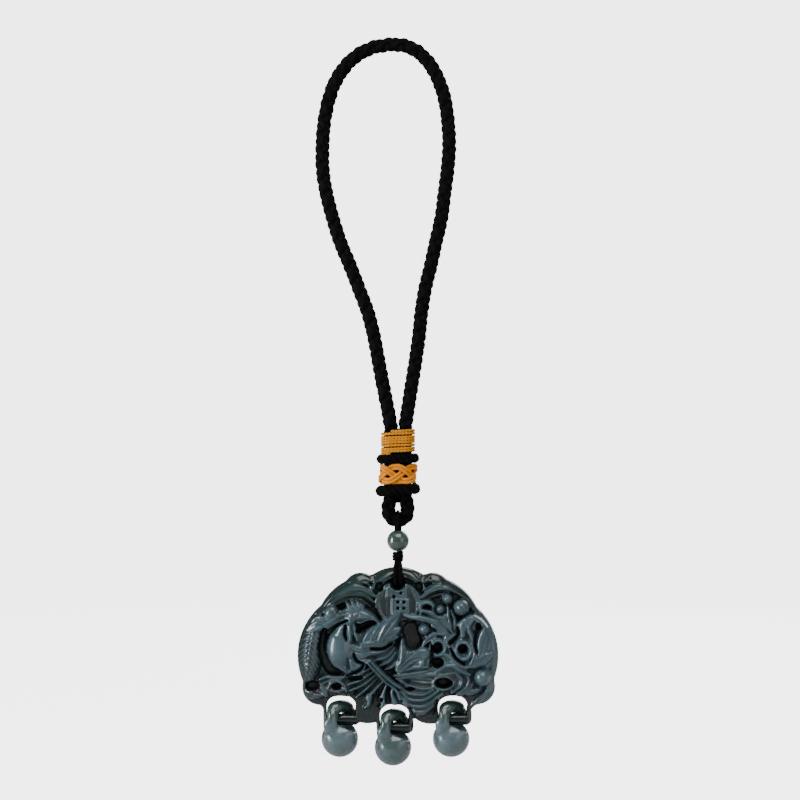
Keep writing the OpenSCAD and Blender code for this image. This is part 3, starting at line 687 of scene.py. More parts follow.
def woven_knot():
    """A woven knot of doubled gold cord: three leads that wind round the collar and cross."""
    low, high = corners("gold_knot")
    strand_d = 0.98
    leads, bights = 3, 5
    middle = (low.z + high.z) / 2
    rise = (high.z - low.z) / 2 - strand_d * 1.02
    wall = INNER_WALL + strand_d * 0.82
    steps = 300
    path = []
    for step in range(steps):
        share = step / steps
        wave = 2 * math.pi * bights * share
        depth = strand_d * 0.36 * math.sin(2 * wave + 0.25)
        x, y = spot_round_limbs(leads * share + 0.06, wall, wall + depth)
        path.append(Vector((x, y, middle + rise * math.cos(wave))))
    lines = []
    for side in (-0.5, 0.5):
        line = []
        for i, point in enumerate(path):
            way = (path[(i + 1) % steps] - path[i - 1]).normalized()
            nearest_x = max(-LIMB_X, min(LIMB_X, point.x))
            outward = Vector((point.x - nearest_x, point.y, 0)).normalized()
            beside = way.cross(outward).normalized()
            line.append(point + beside * side * strand_d * 0.94)
        lines.append(line)
    foot_ring = [Vector((x, y, low.z + strand_d * 0.5 + 0.05 * x))
                 for _, x, y in round_limbs(wall - 0.1, 1, 72)]
    knot = tubes("knot_weave", lines, strand_d / 2, GOLD_DEEP, closed=True, sides=10)
    ring = tubes("knot_foot", [foot_ring], strand_d * 0.42, GOLD_DEEP, closed=True, sides=10)
    piece = join("gold_knot_weave", [knot, ring])
    finish_piece(piece, "pendant", "gold_knot")


small_loop()
gold_winding()
black_turn("upper_turn_braid", "upper_black_turn", 0.03, 0.05)
black_turn("lower_turn_braid", "lower_black_turn", math.tan(math.radians(4)), 0.1)
woven_knot()


# The hanging thread and the bead

# The thread's thickness and the length of one turn of its twist, loose and in the knot
THREAD_D = 0.95
TWIST = 1.9
KNOT_TWIST = 1.8
# From the plate's top to the knot and to the hole, and half the plate's thickness
KNOT_LIFT = 1.4
HOLE_DEPTH = 4.4
PLATE_FACE = 1.8
# How much larger the bead is than its solid, and the steps of its spin
BEAD_FULLNESS = 0.28
SPIN_STEPS = 72


def hanging_thread():
    """The thread round the small loop, its stem through the bead, the knot and the plate's loop."""
    bead_low, bead_high = corners("jade_bead")
    plate_top = corners("jade_plate")[1].z
    ring_r = CORD_D / 2 + THREAD_GAP + THREAD_D / 2
    loop_foot = corners("bound_cord")[0].z
    ring_z = loop_foot + CORD_D / 2
    ring = [Vector((0.15 * math.sin(2 * a), ring_r * math.sin(a), ring_z - ring_r * math.cos(a)))
            for a in (2 * math.pi * k / 48 for k in range(48))]
    pieces = [twisted("loop_turn", ring, THREAD_D * 1.05, TWIST, THREAD_BLACK, closed=True)]
    knot_top = bead_low.z - THREAD_GAP
    knot_foot = plate_top + KNOT_LIFT
    stem_top, stem_foot = ring_z - ring_r, knot_top - 1.5
    heights = [stem_top - (stem_top - stem_foot) * k / 30 for k in range(31)]
    stem = [Vector((0.1 * math.sin(z), 0, z)) for z in heights]
    pieces.append(twisted("stem", stem, THREAD_D * 1.25, TWIST, THREAD_BLACK))
    neck = [Vector((0, 0, loop_foot + 0.5)), Vector((0, 0, bead_high.z - 0.1))]
    pieces.append(tubes("neck", [neck], 1.05, THREAD_BLACK))
    coil = []
    coil_turns, turn_steps = 3, 40
    coil_steps = coil_turns * turn_steps
    for k in range(coil_steps):
        a = 2 * math.pi * k / turn_steps
        full = 1 + 0.16 * math.sin(math.pi * k / coil_steps)
        z = knot_top - 0.5 - (knot_top - knot_foot - 1.0) * k / (coil_steps - 1)
        coil.append(Vector((1.02 * full * math.cos(a), -0.78 * full * math.sin(a), z)))
    pieces.append(twisted("knot_coil", coil, THREAD_D * 1.25, KNOT_TWIST, THREAD_BLACK))
    over = [Vector(p) for p in [(-0.9, -0.5, knot_foot + 0.6), (-0.5, -1.1, knot_foot + 1.3),
                                (0.4, -1.25, knot_foot + 1.9), (1.1, -0.7, knot_foot + 2.6)]]
    over = even_points(smooth_points(over, 8), 0.25)
    pieces.append(twisted("knot_cross", over, THREAD_D, KNOT_TWIST, THREAD_BLACK))
    pass_d = 1.5
    pass_y = pass_d / 2 + 0.1 + PLATE_FACE
    front_y = pass_y + 1.45
    hole_z = plate_top - HOLE_DEPTH
    for side in (-1, 1):
        for lower in (0, 1):
            beside = side * 0.72
            out = 0.3 * lower
            hole = hole_z + 0.8 - 1.1 * lower
            route = [(0.3, 0.2, knot_foot + 0.7), (0.8, 1.5, plate_top + 0.6),
                     (1, pass_y + out, plate_top - 1.2), (1, pass_y + out, hole + 1.2),
                     (1, 0.6 * pass_y, hole + 0.05), (1, -0.5 * front_y, hole + 0.05),
                     (1, -front_y - out, hole + 1.1), (1, -front_y - out, plate_top - 1.1),
                     (0.8, -0.62 * front_y - out, plate_top + 0.5), (0.3, -0.1, knot_foot + 0.6)]
            line = even_points(smooth_points([(beside * x, y, z) for x, y, z in route], 8), 0.22)
            pieces.append(twisted("rim_pass", line, pass_d, TWIST, THREAD_BLACK))
    inside = [Vector((0, y, hole_z)) for y in (-2.6, -1.9, -1.0, 1.0, 1.9, 2.6)]
    pieces.append(tubes("bore_filling", [inside], 1.4, THREAD_BLACK, sides=16,
                        radii=[0.9, 1.3, 1.0, 1.0, 1.3, 0.9]))
    piece = join("hanging_thread", pieces)
    finish_piece(piece, "pendant", "bead_thread")


def spun(name, outline, material):
    """A closed outline of radius and height in millimetres, spun about the vertical axis."""
    work = bmesh.new()
    verts = [work.verts.new((r * MM, 0, z * MM)) for r, z in outline]
    edges = [work.edges.new((verts[i], verts[(i + 1) % len(verts)])) for i in range(len(verts))]
    bmesh.ops.spin(work, geom=verts + edges, cent=(0, 0, 0), axis=(0, 0, 1), angle=2 * math.pi,
                   steps=SPIN_STEPS, use_merge=True)
    mesh = bpy.data.meshes.new(name)
    work.to_mesh(mesh)
    work.free()
    piece = add_piece(name, mesh, material)
    close_mesh(piece)
    return piece


def bead():
    """The drilled bead, with softened rims round its hole."""
    low, high = corners("jade_bead")
    radius = (high.x - low.x) / 2 + BEAD_FULLNESS
    middle = (high.z + low.z) / 2
    hole_r, soft = 0.95, 0.22
    rim = math.asin((hole_r + soft) / radius)
    rim_z = radius * math.cos(rim)
    outline = []
    for k in range(29):
        a = rim + (math.pi - 2 * rim) * k / 28
        outline.append((radius * math.sin(a), middle + radius * math.cos(a)))
    quarter = [k / 4 * math.pi / 2 for k in range(5)]
    lower_rim, upper_rim = middle - rim_z, middle + rim_z
    for a in quarter[1:]:
        outline.append((hole_r + soft * (1 - math.sin(a)), lower_rim + soft * (1 - math.cos(a))))
    for a in quarter[:-1]:
        outline.append((hole_r + soft * (1 - math.cos(a)), upper_rim - soft * (1 - math.sin(a))))
    piece = spun("polished_bead", outline, BEAD_JADE)
    finish_piece(piece, "pendant", "jade_bead")


hanging_thread()
bead()


# The carved plate

# The drawing grid of the plate, 200 by 168 squares round its middle, as in the part: the sides of
# a square and the height of its middle in millimetres
SQUARE_X = 0.296
SQUARE_Z = 0.29583
PLATE_Z = -176.958
# The carving's height over the face and the floor of its deepest pits, in millimetres
RELIEF = 4.4
FLOOR = -1.5
# The bars: x and z of each one's middle and half its opening's width, in squares
BAR_PLACES = [(-56.5, -68, 14.7), (-3.5, -76.5, 14.7), (54.5, -68, 14.7)]
# Round lobes that make the plate's outline: x, z and radius in squares
LOBES = [(0, 38, 46.3), (-37, 61, 17.5), (35, 61, 17.5), (-28, 21, 54.7), (29, 21, 54.7),
         (-35, -4, 65.2), (35, -4, 65.2), (-78, -36, 17.5), (79, -35, 18), (-30, -49, 23),
         (32, -49, 23.5), (-56.5, -55, 18), (-3.5, -63.5, 18), (54.5, -55, 18)]

# Broad low masses under groups of forms: x, z, half width, half height, height share
MASSES = [(-26, 8, 26, 19, 0.56), (-10, -4, 16, 14, 0.42), (62, 2, 34, 34, 0.46),
          (22, -42, 32, 23, 0.42), (18, -10, 22, 14, 0.62), (44, -14, 30, 22, 0.50),
          (36, 32, 22, 14, 0.38), (-62, -34, 26, 12, 0.32), (-28, -26, 24, 16, 0.30),
          (-52, 34, 20, 12, 0.46), (58, -30, 24, 14, 0.44), (82, 2, 15, 26, 0.60),
          (-78, 27, 16, 9, 0.40), (74, 28, 18, 12, 0.46)]

# Carved strands, leaves and petals. Columns: profile, widths at the start, middle and
# end in squares, height share of the crest, and the route in squares.
RIM = [
    ("band", (5, 7, 5), 0.44, [(-26, 63), (-19, 71), (-9, 78), (0, 81), (12, 78), (21, 70),
     (26, 63)]),
    ("soft", (3, 5, 3), 0.36, [(-22, 61), (-15, 69), (-7, 74), (8, 75), (17, 70), (24, 61)]),
    ("band", (4, 11, 5), 0.36, [(-52, 67), (-41, 72), (-33, 75), (-24, 71)]),
    ("soft", (3, 4, 2), 0.42, [(-52, 68), (-42, 74), (-33, 77), (-24, 75)]),
    ("soft", (2, 4, 3), 0.40, [(-48, 67), (-38, 69), (-30, 68), (-25, 61)]),
    ("band", (6, 9, 5), 0.48, [(-78, 38), (-73, 49), (-63, 58), (-50, 63), (-38, 64), (-30, 61),
     (-23, 56)]),
    ("band", (5, 7, 4), 0.38, [(-71, 42), (-63, 52), (-52, 57), (-42, 58), (-32, 56), (-24, 50)]),
    ("soft", (5, 7, 3), 0.28, [(-64, 46), (-55, 51), (-45, 53), (-35, 51), (-27, 45)]),
    ("band", (5, 11, 4), 0.36, [(24, 70), (32, 74), (42, 72), (52, 67)]),
    ("soft", (3, 4, 2), 0.42, [(23, 74), (32, 77), (42, 74), (52, 69)]),
    ("soft", (2, 4, 3), 0.40, [(26, 62), (33, 66), (42, 67), (50, 66)]),
    ("band", (5, 9, 6), 0.48, [(24, 55), (32, 61), (43, 65), (56, 63), (68, 55), (75, 46),
     (80, 37)]),
    ("soft", (4, 6, 3), 0.30, [(28, 53), (36, 56), (44, 58), (52, 60)]),
    ("band", (4, 7, 5), 0.40, [(84, 30), (93, 18), (97, 4), (98, -10), (96, -24), (90, -38)]),
    ("soft", (2, 4, 3), 0.34, [(88, 24), (93, 10), (95, -6), (93, -20), (88, -34)]),
    ("band", (4, 6, 4), 0.30, [(90, -36), (84, -44), (76, -52), (72, -60)]),
    ("soft", (3, 4, 3), 0.50, [(-22, 44), (-21, 54), (-14, 65), (0, 69), (14, 65), (21, 56),
     (22, 44)])]
BIRD = [
    ("round", (4, 10, 7), 0.62, [(-91, 22), (-84, 28), (-76, 31), (-66, 31)]),
    ("round", (6, 8, 5), 0.74, [(-50, 38), (-57, 36), (-63, 32), (-70, 27), (-77, 24), (-84, 22)]),
    ("soft", (3, 5, 2), 0.70, [(-50, 34), (-57, 31), (-64, 27), (-72, 22)]),
    ("soft", (2, 4, 2), 0.66, [(-88, 29), (-80, 35), (-72, 34)]),
    ("round", (13, 17, 25), 0.86, [(-45, 35), (-53, 25), (-57, 10)]),
    ("round", (15, 13, 3), 0.88, [(-42, 39), (-33, 37), (-25, 34), (-20, 31)]),
    ("round", (3, 5, 2), 0.74, [(-40, 30), (-33, 30), (-24, 31)]),
    ("round", (6, 6, 2), 0.84, [(-46, 40), (-51, 43), (-55, 45)]),
    ("round", (6, 6, 2), 0.86, [(-44, 43), (-48, 46), (-51, 49)]),
    ("round", (6, 6, 2), 0.88, [(-41, 44), (-44, 48), (-46, 51)]),
    ("round", (6, 6, 2), 0.86, [(-38, 44), (-39, 48), (-41, 51)]),
    ("round", (5, 5, 2), 0.82, [(-35, 43), (-35, 46), (-37, 49)]),
    ("round", (4, 7, 4), 0.94, [(-48, 27), (-48, 20), (-47, 12)]),
    ("round", (3, 7, 3), 0.88, [(-44, 27), (-42, 19), (-40, 12)]),
    ("round", (8, 17, 8), 0.84, [(-48, -8), (-43, -13), (-35, -13)]),
    ("round", (7, 13, 4), 0.80, [(-60, -10), (-54, -16), (-48, -19)])]
WING = [
    ("plume", (4, 9, 2), 0.82, [(-48, 8), (-40, 4), (-30, 3)]),
    ("plume", (4, 9, 2), 0.80, [(-48, 1), (-39, -3), (-27, -2)]),
    ("plume", (4, 8, 2), 0.76, [(-44, -6), (-36, -9), (-26, -7)]),
    ("plume", (5, 12, 3), 0.80, [(-34, 10), (-28, 18), (-19, 27)]),
    ("plume", (5, 12, 3), 0.84, [(-26, 12), (-20, 22), (-12, 33)]),
    ("plume", (5, 17, 2), 0.96, [(-19, 11), (-9, 26), (2, 40)]),
    ("plume", (5, 14, 3), 0.92, [(-17, 10), (-7, 18), (2, 25)]),
    ("plume", (5, 13, 3), 0.90, [(-25, 9), (-13, 13), (0, 16)]),
    ("plume", (5, 13, 3), 0.88, [(-36, 8), (-24, 8), (-11, 9)]),
    ("plume", (5, 11, 3), 0.76, [(-38, 2), (-26, 1), (-14, 3)])]
LOWER_LEFT = [
    ("round", (3, 6, 4), 0.60, [(-78, -27), (-70, -24), (-62, -24), (-54, -21), (-46, -17),
     (-36, -12)]),
    ("round", (3, 5, 3), 0.54, [(-78, -32), (-68, -28), (-60, -27), (-52, -24)]),
    ("round", (3, 5, 3), 0.56, [(-70, -38), (-67, -31), (-60, -28), (-54, -32), (-51, -39)]),
    ("round", (3, 4, 3), 0.46, [(-68, -38), (-60, -39), (-52, -36)]),
    ("round", (5, 10, 5), 0.54, [(-79, -32), (-74, -36), (-71, -43)]),
    ("round", (5, 8, 4), 0.44, [(-92, -39), (-86, -43), (-74, -43)]),
    ("soft", (3, 4, 2), 0.36, [(-60, -41), (-52, -43), (-44, -40)])]
TAIL = [
    ("round", (2, 4, 3), 0.62, [(-27, -15), (-37, -21), (-50, -25)]),
    ("round", (2, 4, 3), 0.60, [(-25, -19), (-37, -27), (-50, -32)]),
    ("round", (2, 4, 3), 0.58, [(-22, -22), (-34, -32), (-48, -38)]),
    ("round", (2, 4, 3), 0.56, [(-20, -25), (-30, -35), (-42, -45)]),
    ("round", (3, 5, 9), 0.66, [(-15, -29), (-22, -36), (-29, -46)]),
    ("round", (9, 6, 3), 0.66, [(-29, -44), (-29, -51), (-33, -55)]),
    ("round", (3, 5, 8), 0.66, [(-11, -31), (-14, -39), (-16, -47)]),
    ("round", (8, 6, 3), 0.66, [(-16, -45), (-15, -52), (-19, -56)]),
    ("round", (3, 6, 8), 0.64, [(-5, -33), (-6, -41), (-3, -50)]),
    ("round", (4, 5, 4), 0.90, [(-28, -7), (-17, -19), (-7, -28), (3, -35)]),
    ("round", (4, 4, 4), 0.86, [(-30, -10), (-20, -21), (-11, -30), (-2, -37), (2, -46)])]
CENTRE = [
    ("round", (2, 11, 7), 0.84, [(4, 14), (5, 2), (3, -14)]),
    ("round", (3, 6, 3), 0.62, [(-3, 11), (-12, 3), (-26, -3)]),
    ("round", (3, 6, 3), 0.58, [(-3, 5), (-11, -4), (-24, -8)]),
    ("round", (3, 6, 3), 0.60, [(-2, 0), (-8, -8), (-18, -13)]),
    ("round", (3, 6, 3), 0.60, [(-1, -8), (-6, -14), (-13, -17)]),
    ("smooth", (8, 25, 16), 0.80, [(0, -17), (12, -7), (26, -1)]),
    ("round", (4, 7, 3), 0.82, [(2, -19), (13, -15), (30, -14)]),
    ("round", (4, 6, 3), 0.72, [(-4, -23), (12, -21), (30, -18)]),
    ("round", (2, 5, 3), 0.66, [(-1, -27), (6, -30), (9, -35)])]
BRANCH = [
    ("leaf", (2, 7, 4), 0.62, [(24, 6), (29, 12), (38, 17)]),
    ("round", (3, 6, 3), 0.60, [(27, 16), (36, 19), (47, 17)]),
    ("smooth", (6, 13, 6), 0.64, [(47, 10), (50, 14), (57, 17)]),
    ("round", (3, 6, 3), 0.68, [(32, 27), (40, 24), (48, 17)]),
    ("round", (3, 9, 4), 0.80, [(5, 37), (16, 35), (28, 33), (40, 29), (50, 19)]),
    ("round", (4, 8, 3), 0.78, [(24, 42), (34, 39), (44, 33), (54, 20)]),
    ("round", (5, 7, 4), 0.74, [(23, 40), (22, 47), (28, 50), (34, 48), (36, 43)]),
    ("round", (3, 5, 3), 0.72, [(49, 47), (50, 36), (53, 23)]),
    ("round", (3, 5, 3), 0.70, [(53, 42), (56, 33), (56, 23)]),
    ("round", (5, 6, 5), 0.66, [(45, 40), (46, 37), (47, 34)])]
BLOOM = [
    ("smooth", (8, 14, 10), 0.82, [(64, 17), (63, 25), (70, 32)]),
    ("smooth", (8, 18, 12), 0.80, [(82, -6), (84, 8), (86, 20)]),
    ("round", (5, 8, 4), 0.88, [(66, 33), (74, 35), (81, 31), (88, 24)]),
    ("round", (6, 7, 4), 0.88, [(75, 34), (70, 25), (74, 13), (76, 0), (72, -11)]),
    ("smooth", (4, 17, 8), 0.86, [(70, -14), (81, -8), (91, -2)]),
    ("round", (4, 7, 4), 0.86, [(48, 11), (54, 0), (60, -8), (69, -15)]),
    ("round", (4, 7, 4), 0.80, [(35, -3), (44, -1), (51, -4), (58, -10), (68, -16)]),
    ("round", (4, 9, 4), 0.80, [(37, -20), (46, -14), (55, -13), (63, -18), (72, -22)])]
SWIRL = [
    ("round", (3, 7, 3), 0.64, [(-2, -26), (14, -24), (28, -22), (44, -22), (56, -20)]),
    ("leaf", (3, 10, 4), 0.56, [(13, -27), (25, -28), (38, -29)]),
    ("round", (3, 6, 3), 0.64, [(56, -19), (63, -26), (62, -33), (53, -40)]),
    ("round", (3, 6, 3), 0.60, [(64, -17), (70, -26), (68, -34), (58, -42)]),
    ("round", (3, 6, 3), 0.54, [(75, -30), (69, -38), (60, -43)]),
    ("soft", (4, 7, 5), 0.60, [(2, -29), (12, -33), (24, -36), (34, -35)]),
    ("soft", (5, 7, 5), 0.62, [(1, -32), (10, -40), (24, -42), (35, -37)]),
    ("soft", (5, 8, 6), 0.62, [(2, -38), (11, -46), (26, -47), (40, -38)]),
    ("soft", (5, 9, 7), 0.60, [(3, -44), (12, -52), (27, -53), (44, -41)]),
    ("soft", (5, 10, 6), 0.54, [(5, -50), (14, -58), (26, -59), (38, -50)]),
    ("round", (4, 8, 4), 0.50, [(68, -42), (75, -39), (82, -36)])]

# Round forms: x, z, half width, half height, height share
MOUNDS = [(-66, 39, 9, 9, 0.68), (-42, 39, 11, 10, 0.90), (-57, 2, 15, 24, 1.00),
          (-88, -41, 6.5, 6, 0.46), (24, -10, 5.5, 6, 0.92), (32, 73, 4, 3.5, 0.46)]
BERRIES = [(49, 53, 6, 6, 0.84), (63, 44.5, 9, 9, 0.98), (42, 43, 5.5, 5.5, 0.80),
           (26, 23, 6.5, 6.5, 0.84), (84, -25, 9.8, 9.8, 0.94)]
# Rims round the eyes of the tail plumes: x, z, half width, half height, rim width, share
EYE_RIMS = [(40, 5, 10, 11, 6.5, 0.84), (65, 2, 11.5, 13, 8.5, 0.86), (45, -30.5, 13, 9, 5, 0.64)]

# Sunk places with steep walls: x, z, half width, half height, floor's share
PITS = [(39, 4, 5, 5, 1.0), (64, 4, 4.6, 4.6, 1.0), (39.5, -10.5, 6, 4.8, 1.0),
        (45.5, -30.5, 9, 4.8, 1.0), (13, 21, 9, 9, 0.8), (15, 11, 8.5, 9, 0.8),
        (-85, -33.5, 7.5, 4.8, 1.0), (80, 25.5, 2.4, 4, 0.4), (-18.5, 65, 4, 5, 0.5),
        (21, 65, 4, 5, 0.5), (-56, 45, 5, 2.4, 0.6), (-61, -34, 4.5, 2.6, 0.7),
        (-42, -25.5, 8, 2.4, 0.5), (12, -36, 5, 1.3, 0.4), (-16.5, -47, 1.6, 2, 0.1),
        (32, 73.5, 1, 1, 0.1)]
# Deep lines with steep walls: widths, floor's share, route
TRENCHES = [
    ((4, 6, 2), 1.0, [(-40, 21), (-37, 25), (-31, 28), (-23, 30.5)]),
    ((5, 7, 9), 1.0, [(-73, 22), (-76, 4), (-72, -10)]),
    ((9, 9, 3), 1.0, [(-72, -10), (-66, -18), (-54, -21)]),
    ((3, 4, 2), 0.7, [(51, 9), (53, 11), (58, 15)]),
    ((2, 3, 2), 0.6, [(-50, 32), (-59, 28), (-70, 21)]),
    ((2, 3, 2), 0.5, [(6, 31), (18, 30), (32, 26)]),
    ((2, 3, 2), 0.6, [(57, 16), (60, 18), (59, 25)]),
    ((2, 3, 2), 0.6, [(33, 8), (34, -4), (32, -14)]),
    ((2, 3, 2), 0.6, [(52, 4), (57, -5), (66, -12)]),
    ((2, 3, 2), 0.5, [(78, 22), (76, 10), (78, 0)]),
    ((3, 3, 2), 0.6, [(-26, 4), (-14, 4), (-6, 9)]),
    ((2, 3, 2), 0.5, [(-34, -12), (-38, -17), (-48, -22)]),
    ((2, 3, 2), 0.5, [(-44, -1), (-41, -8), (-34, -11)]),
    ((2, 3, 1), 0.5, [(-52, 27), (-53, 19), (-51, 12)]),
    ((3, 5, 3), 0.6, [(-24, -42), (-22, -50), (-24, -56)]),
    ((2, 4, 3), 0.6, [(-10, -40), (-9, -48), (-10, -54)])]
# Fine grooves: widths, depth in millimetres, route
GROOVES = [
    ((2, 3, 1), 0.9, [(-50, -5), (-49, -13), (-50, -20)]),
    ((1.5, 2, 1), 0.6, [(-38, 31), (-31, 33), (-23, 32)]),
    ((1.5, 2, 1), 0.5, [(-52, 37), (-60, 33), (-68, 28), (-80, 23)]),
    ((1.5, 2, 1), 0.5, [(-90, 23), (-82, 28), (-74, 31), (-66, 31)]),
    ((1.5, 2, 1), 0.6, [(5, 9), (6, 0), (4, -12)]),
    ((1.5, 2.5, 1), 0.6, [(2, -16), (12, -8), (24, -4)]),
    ((1.5, 2.5, 1), 0.5, [(2, -13), (10, -4), (20, 3)]),
    ((1.5, 2.5, 1), 0.6, [(6, -18), (14, -12), (20, -8)]),
    ((1.5, 2, 1), 0.5, [(62, 30), (60, 24), (62, 17)]),
    ((1.5, 2, 1), 0.4, [(66, 31), (65, 25), (67, 18)]),
    ((1.5, 2, 1), 0.4, [(82, -4), (84, 8), (88, 19)]),
    ((1.5, 2, 1), 0.4, [(40, -18), (50, -15), (62, -19)]),
    ((1.5, 2, 1), 0.4, [(48, -3), (56, -10), (66, -17)]),
    ((1.5, 2, 1), 0.4, [(8, 37), (24, 34), (40, 29)]),
    ((1.5, 2, 1), 0.4, [(30, 40), (42, 35), (51, 25)]),
    ((1.2, 1.6, 1), 0.5, [(39, -34), (39, -30), (40, -26)]),
    ((1.2, 1.6, 1), 0.5, [(50, -34), (50, -30), (49, -26)])]

# Where the floors of the solid's deepest pits lie, from the plate's middle, in millimetres
PIT_FLOOR = (-0.36, -0.1)
# The walls beside the three openings, as places from the middle of each, and their radius
WALL_PLACES = [(-4.8, 0.6), (4.8, 0.85)]

# The grid on which the carving is worked out, in squares
GRID_STEP = 0.5
GRID_XS = np.arange(-104, 104.01, GRID_STEP)
GRID_ZS = np.arange(-92, 88.01, GRID_STEP)
GRID_X, GRID_Z = np.meshgrid(GRID_XS, GRID_ZS)
WHOLE = (slice(None), slice(None))

# Places on the grid: the thread's hole, the medallion's middle, the bird's eye and its nostril
HOLE = (0, 69)
COIN = (0, 48)
EYE = (-41.5, 38)
NOSTRIL = (-28, 34.5)


def ease(value, low, high):
    """A smooth rise from 0 to 1 between two values, or a fall where the second is lower."""
    share = np.clip((value - low) / (high - low), 0, 1)
    return share * share * (3 - 2 * share)


def away_from(x, z, wide=1, tall=1):
    """The distance from a place on the grid, as a share of the half widths of an oval."""
    return np.hypot((GRID_X - x) / wide, (GRID_Z - z) / tall)


def dome(share):
    """The height of a dome over the distance from its middle."""
    return np.sqrt(np.clip(1 - share * share, 0, 1))


def swell(values, share):
    """A value that passes three given ones at the start, middle and end."""
    a, b, c = values
    return (a * (1 - share) * (1 - 2 * share) + 4 * b * share * (1 - share)
            + c * share * (2 * share - 1))


def along_route(route, widths):
    """The window of the grid round a route, with the distance from the route as a share of its
    half width, and the place along it and beside it in squares."""
    points = even_points(smooth_points([(x, z, 0) for x, z in route], 8), 0.4)
    last = len(points) - 1
    reach = max(widths) / 2 + 1
    xs, zs = [p.x for p in points], [p.y for p in points]
    cols = np.where((GRID_XS > min(xs) - reach) & (GRID_XS < max(xs) + reach))[0]
    rows = np.where((GRID_ZS > min(zs) - reach) & (GRID_ZS < max(zs) + reach))[0]
    window = (slice(rows[0], rows[-1] + 1), slice(cols[0], cols[-1] + 1))
    gx, gz = GRID_X[window], GRID_Z[window]
    share = np.full(gx.shape, 9.0)
    place = np.zeros(gx.shape)
    beside = np.zeros(gx.shape)
    run = 0.0
    for i, point in enumerate(points):
        way = (points[min(i + 1, last)] - points[max(i - 1, 0)]).normalized()
        half = max(swell(widths, i / last), 0.8) / 2
        dx, dz = gx - point.x, gz - point.y
        near = np.hypot(dx, dz) / half
        closer = near < share
        share[closer] = near[closer]
        place[closer] = run
        beside[closer] = (dx * way.y - dz * way.x)[closer]
        if i < last:
            run += (points[i + 1] - point).length
    return window, share, place, beside


PROFILES = {
    "soft": lambda u: 1 - u * u,
    "round": dome,
    "band": lambda u: 1 - u ** 6,
    "leaf": lambda u: (1 - u ** 4) * (0.70 + 0.30 * ease(u, 0.0, 0.42)),
    "plume": lambda u: dome(u) * (0.84 + 0.16 * ease(u, 0.0, 0.3)),
    "smooth": lambda u: 1 - u ** 4,
}


def raise_to(height, window, new):
    """Raises the carving to a new form wherever that form stands higher."""
    old = height[window]
    height[window] = np.where(new > 0, np.maximum(old, new), old)


def outline_room():
    """The distance inwards from the plate's outline, in squares along a ray from its middle."""
    turn = np.arctan2(GRID_Z, GRID_X)
    reach = np.zeros(turn.shape)
    for x, z, r in LOBES:
        along = x * np.cos(turn) + z * np.sin(turn)
        inside = r * r - x * x - z * z + along * along
        far_side = along + np.sqrt(np.clip(inside, 0, None))
        reach = np.maximum(reach, np.where(inside > 0, far_side, 0))
    return reach - np.hypot(GRID_X, GRID_Z)


def sink(height, window, share, floor, soft=0.28):
    """Cuts a place down to a floor with steep walls."""
    depth = 1 - ease(share, 1 - soft, 1.0 + soft * 0.4)
    height[window] = height[window] * (1 - depth) + np.minimum(height[window], floor) * depth


def feather(height):
    """The long feather at the left edge: a midrib with slanting barbs on both sides."""
    route = [(-82, 26), (-86, 12), (-88, -2), (-90, -16), (-93, -33)]
    window, share, place, beside = along_route(route, (14, 28, 12))
    out = np.abs(beside)
    phase = (place - 0.95 * out) / 4.9
    tooth = phase - np.floor(phase)
    barb = 0.70 + 0.30 * np.where(tooth < 0.8, tooth / 0.8, (1 - tooth) / 0.2)
    ragged = np.clip(share * (1.02 - 0.10 * tooth), 0, 1)
    body = RELIEF * 0.62 * (1 - ragged ** 3) * barb
    body = body * (0.78 + 0.22 * ease(out, 0.0, 2.2))
    rib = RELIEF * 0.66 * np.clip(1 - (out / 1.5) ** 2, 0, 1) * (share < 0.9)
    raise_to(height, window, np.maximum(body, rib))


def medallion(height):
    """The round coin-like medallion with its rim, framed tablets and drilled dots."""
    away = away_from(*COIN)
    disc = np.where(away < 22, RELIEF * 0.34, 0) + RELIEF * 0.10 * np.exp(-((away - 20) / 1.6) ** 2)
    raise_to(height, WHOLE, disc * (GRID_Z > 30))
    for x, z, wide, tall, share in ((-1, 59.5, 11, 5.5, 0.56), (2.5, 46, 9.5, 8, 0.60)):
        inside = np.maximum(np.abs(GRID_X - x) / wide, np.abs(GRID_Z - z) / tall)
        tablet = RELIEF * share * (1 - ease(inside, 0.9, 1.08))
        frame_line = np.exp(-((inside - 0.72) / 0.07) ** 2) * 0.35
        raise_to(height, WHOLE, tablet - frame_line * (tablet > 0.5))
    for x, z in ((0, 50), (6, 50), (0, 44), (6, 44), (3, 59), (-4, 55.5)):
        sink(height, WHOLE, away_from(x, z) / 1.5, RELIEF * 0.18, 0.4)
    for x in (-8.5, -10.5):
        line = np.exp(-((GRID_X - x) / 0.7) ** 2) * (np.abs(GRID_Z - 46) < 8)
        raise_to(height, WHOLE, RELIEF * 0.46 * line)


def raise_forms(height):
    """Raises the masses, the mounds, the rims and all the strands, leaves and petals."""
    for x, z, wide, tall, share in MASSES:
        away = away_from(x, z, wide, tall)
        raise_to(height, WHOLE, RELIEF * share * np.clip(1 - away ** 3, 0, 1))
    medallion(height)
    feather(height)
    for x, z, wide, tall, share in MOUNDS:
        raise_to(height, WHOLE, RELIEF * share * dome(away_from(x, z, wide, tall)))
    for x, z, wide, tall, rim, share in EYE_RIMS:
        half = rim / 2 / min(wide, tall)
        aside = (away_from(x, z, wide, tall) - 1 + half) / half
        raise_to(height, WHOLE, RELIEF * share * np.clip(1 - aside ** 2, 0, 1))
    for group in (RIM, LOWER_LEFT, CENTRE, TAIL, SWIRL, BRANCH, BLOOM, BIRD, WING):
        for profile, widths, share, route in group:
            window, away = along_route(route, widths)[:2]
            form = np.where(away < 1, PROFILES[profile](np.clip(away, 0, 1)), 0)
            raise_to(height, window, RELIEF * share * form)


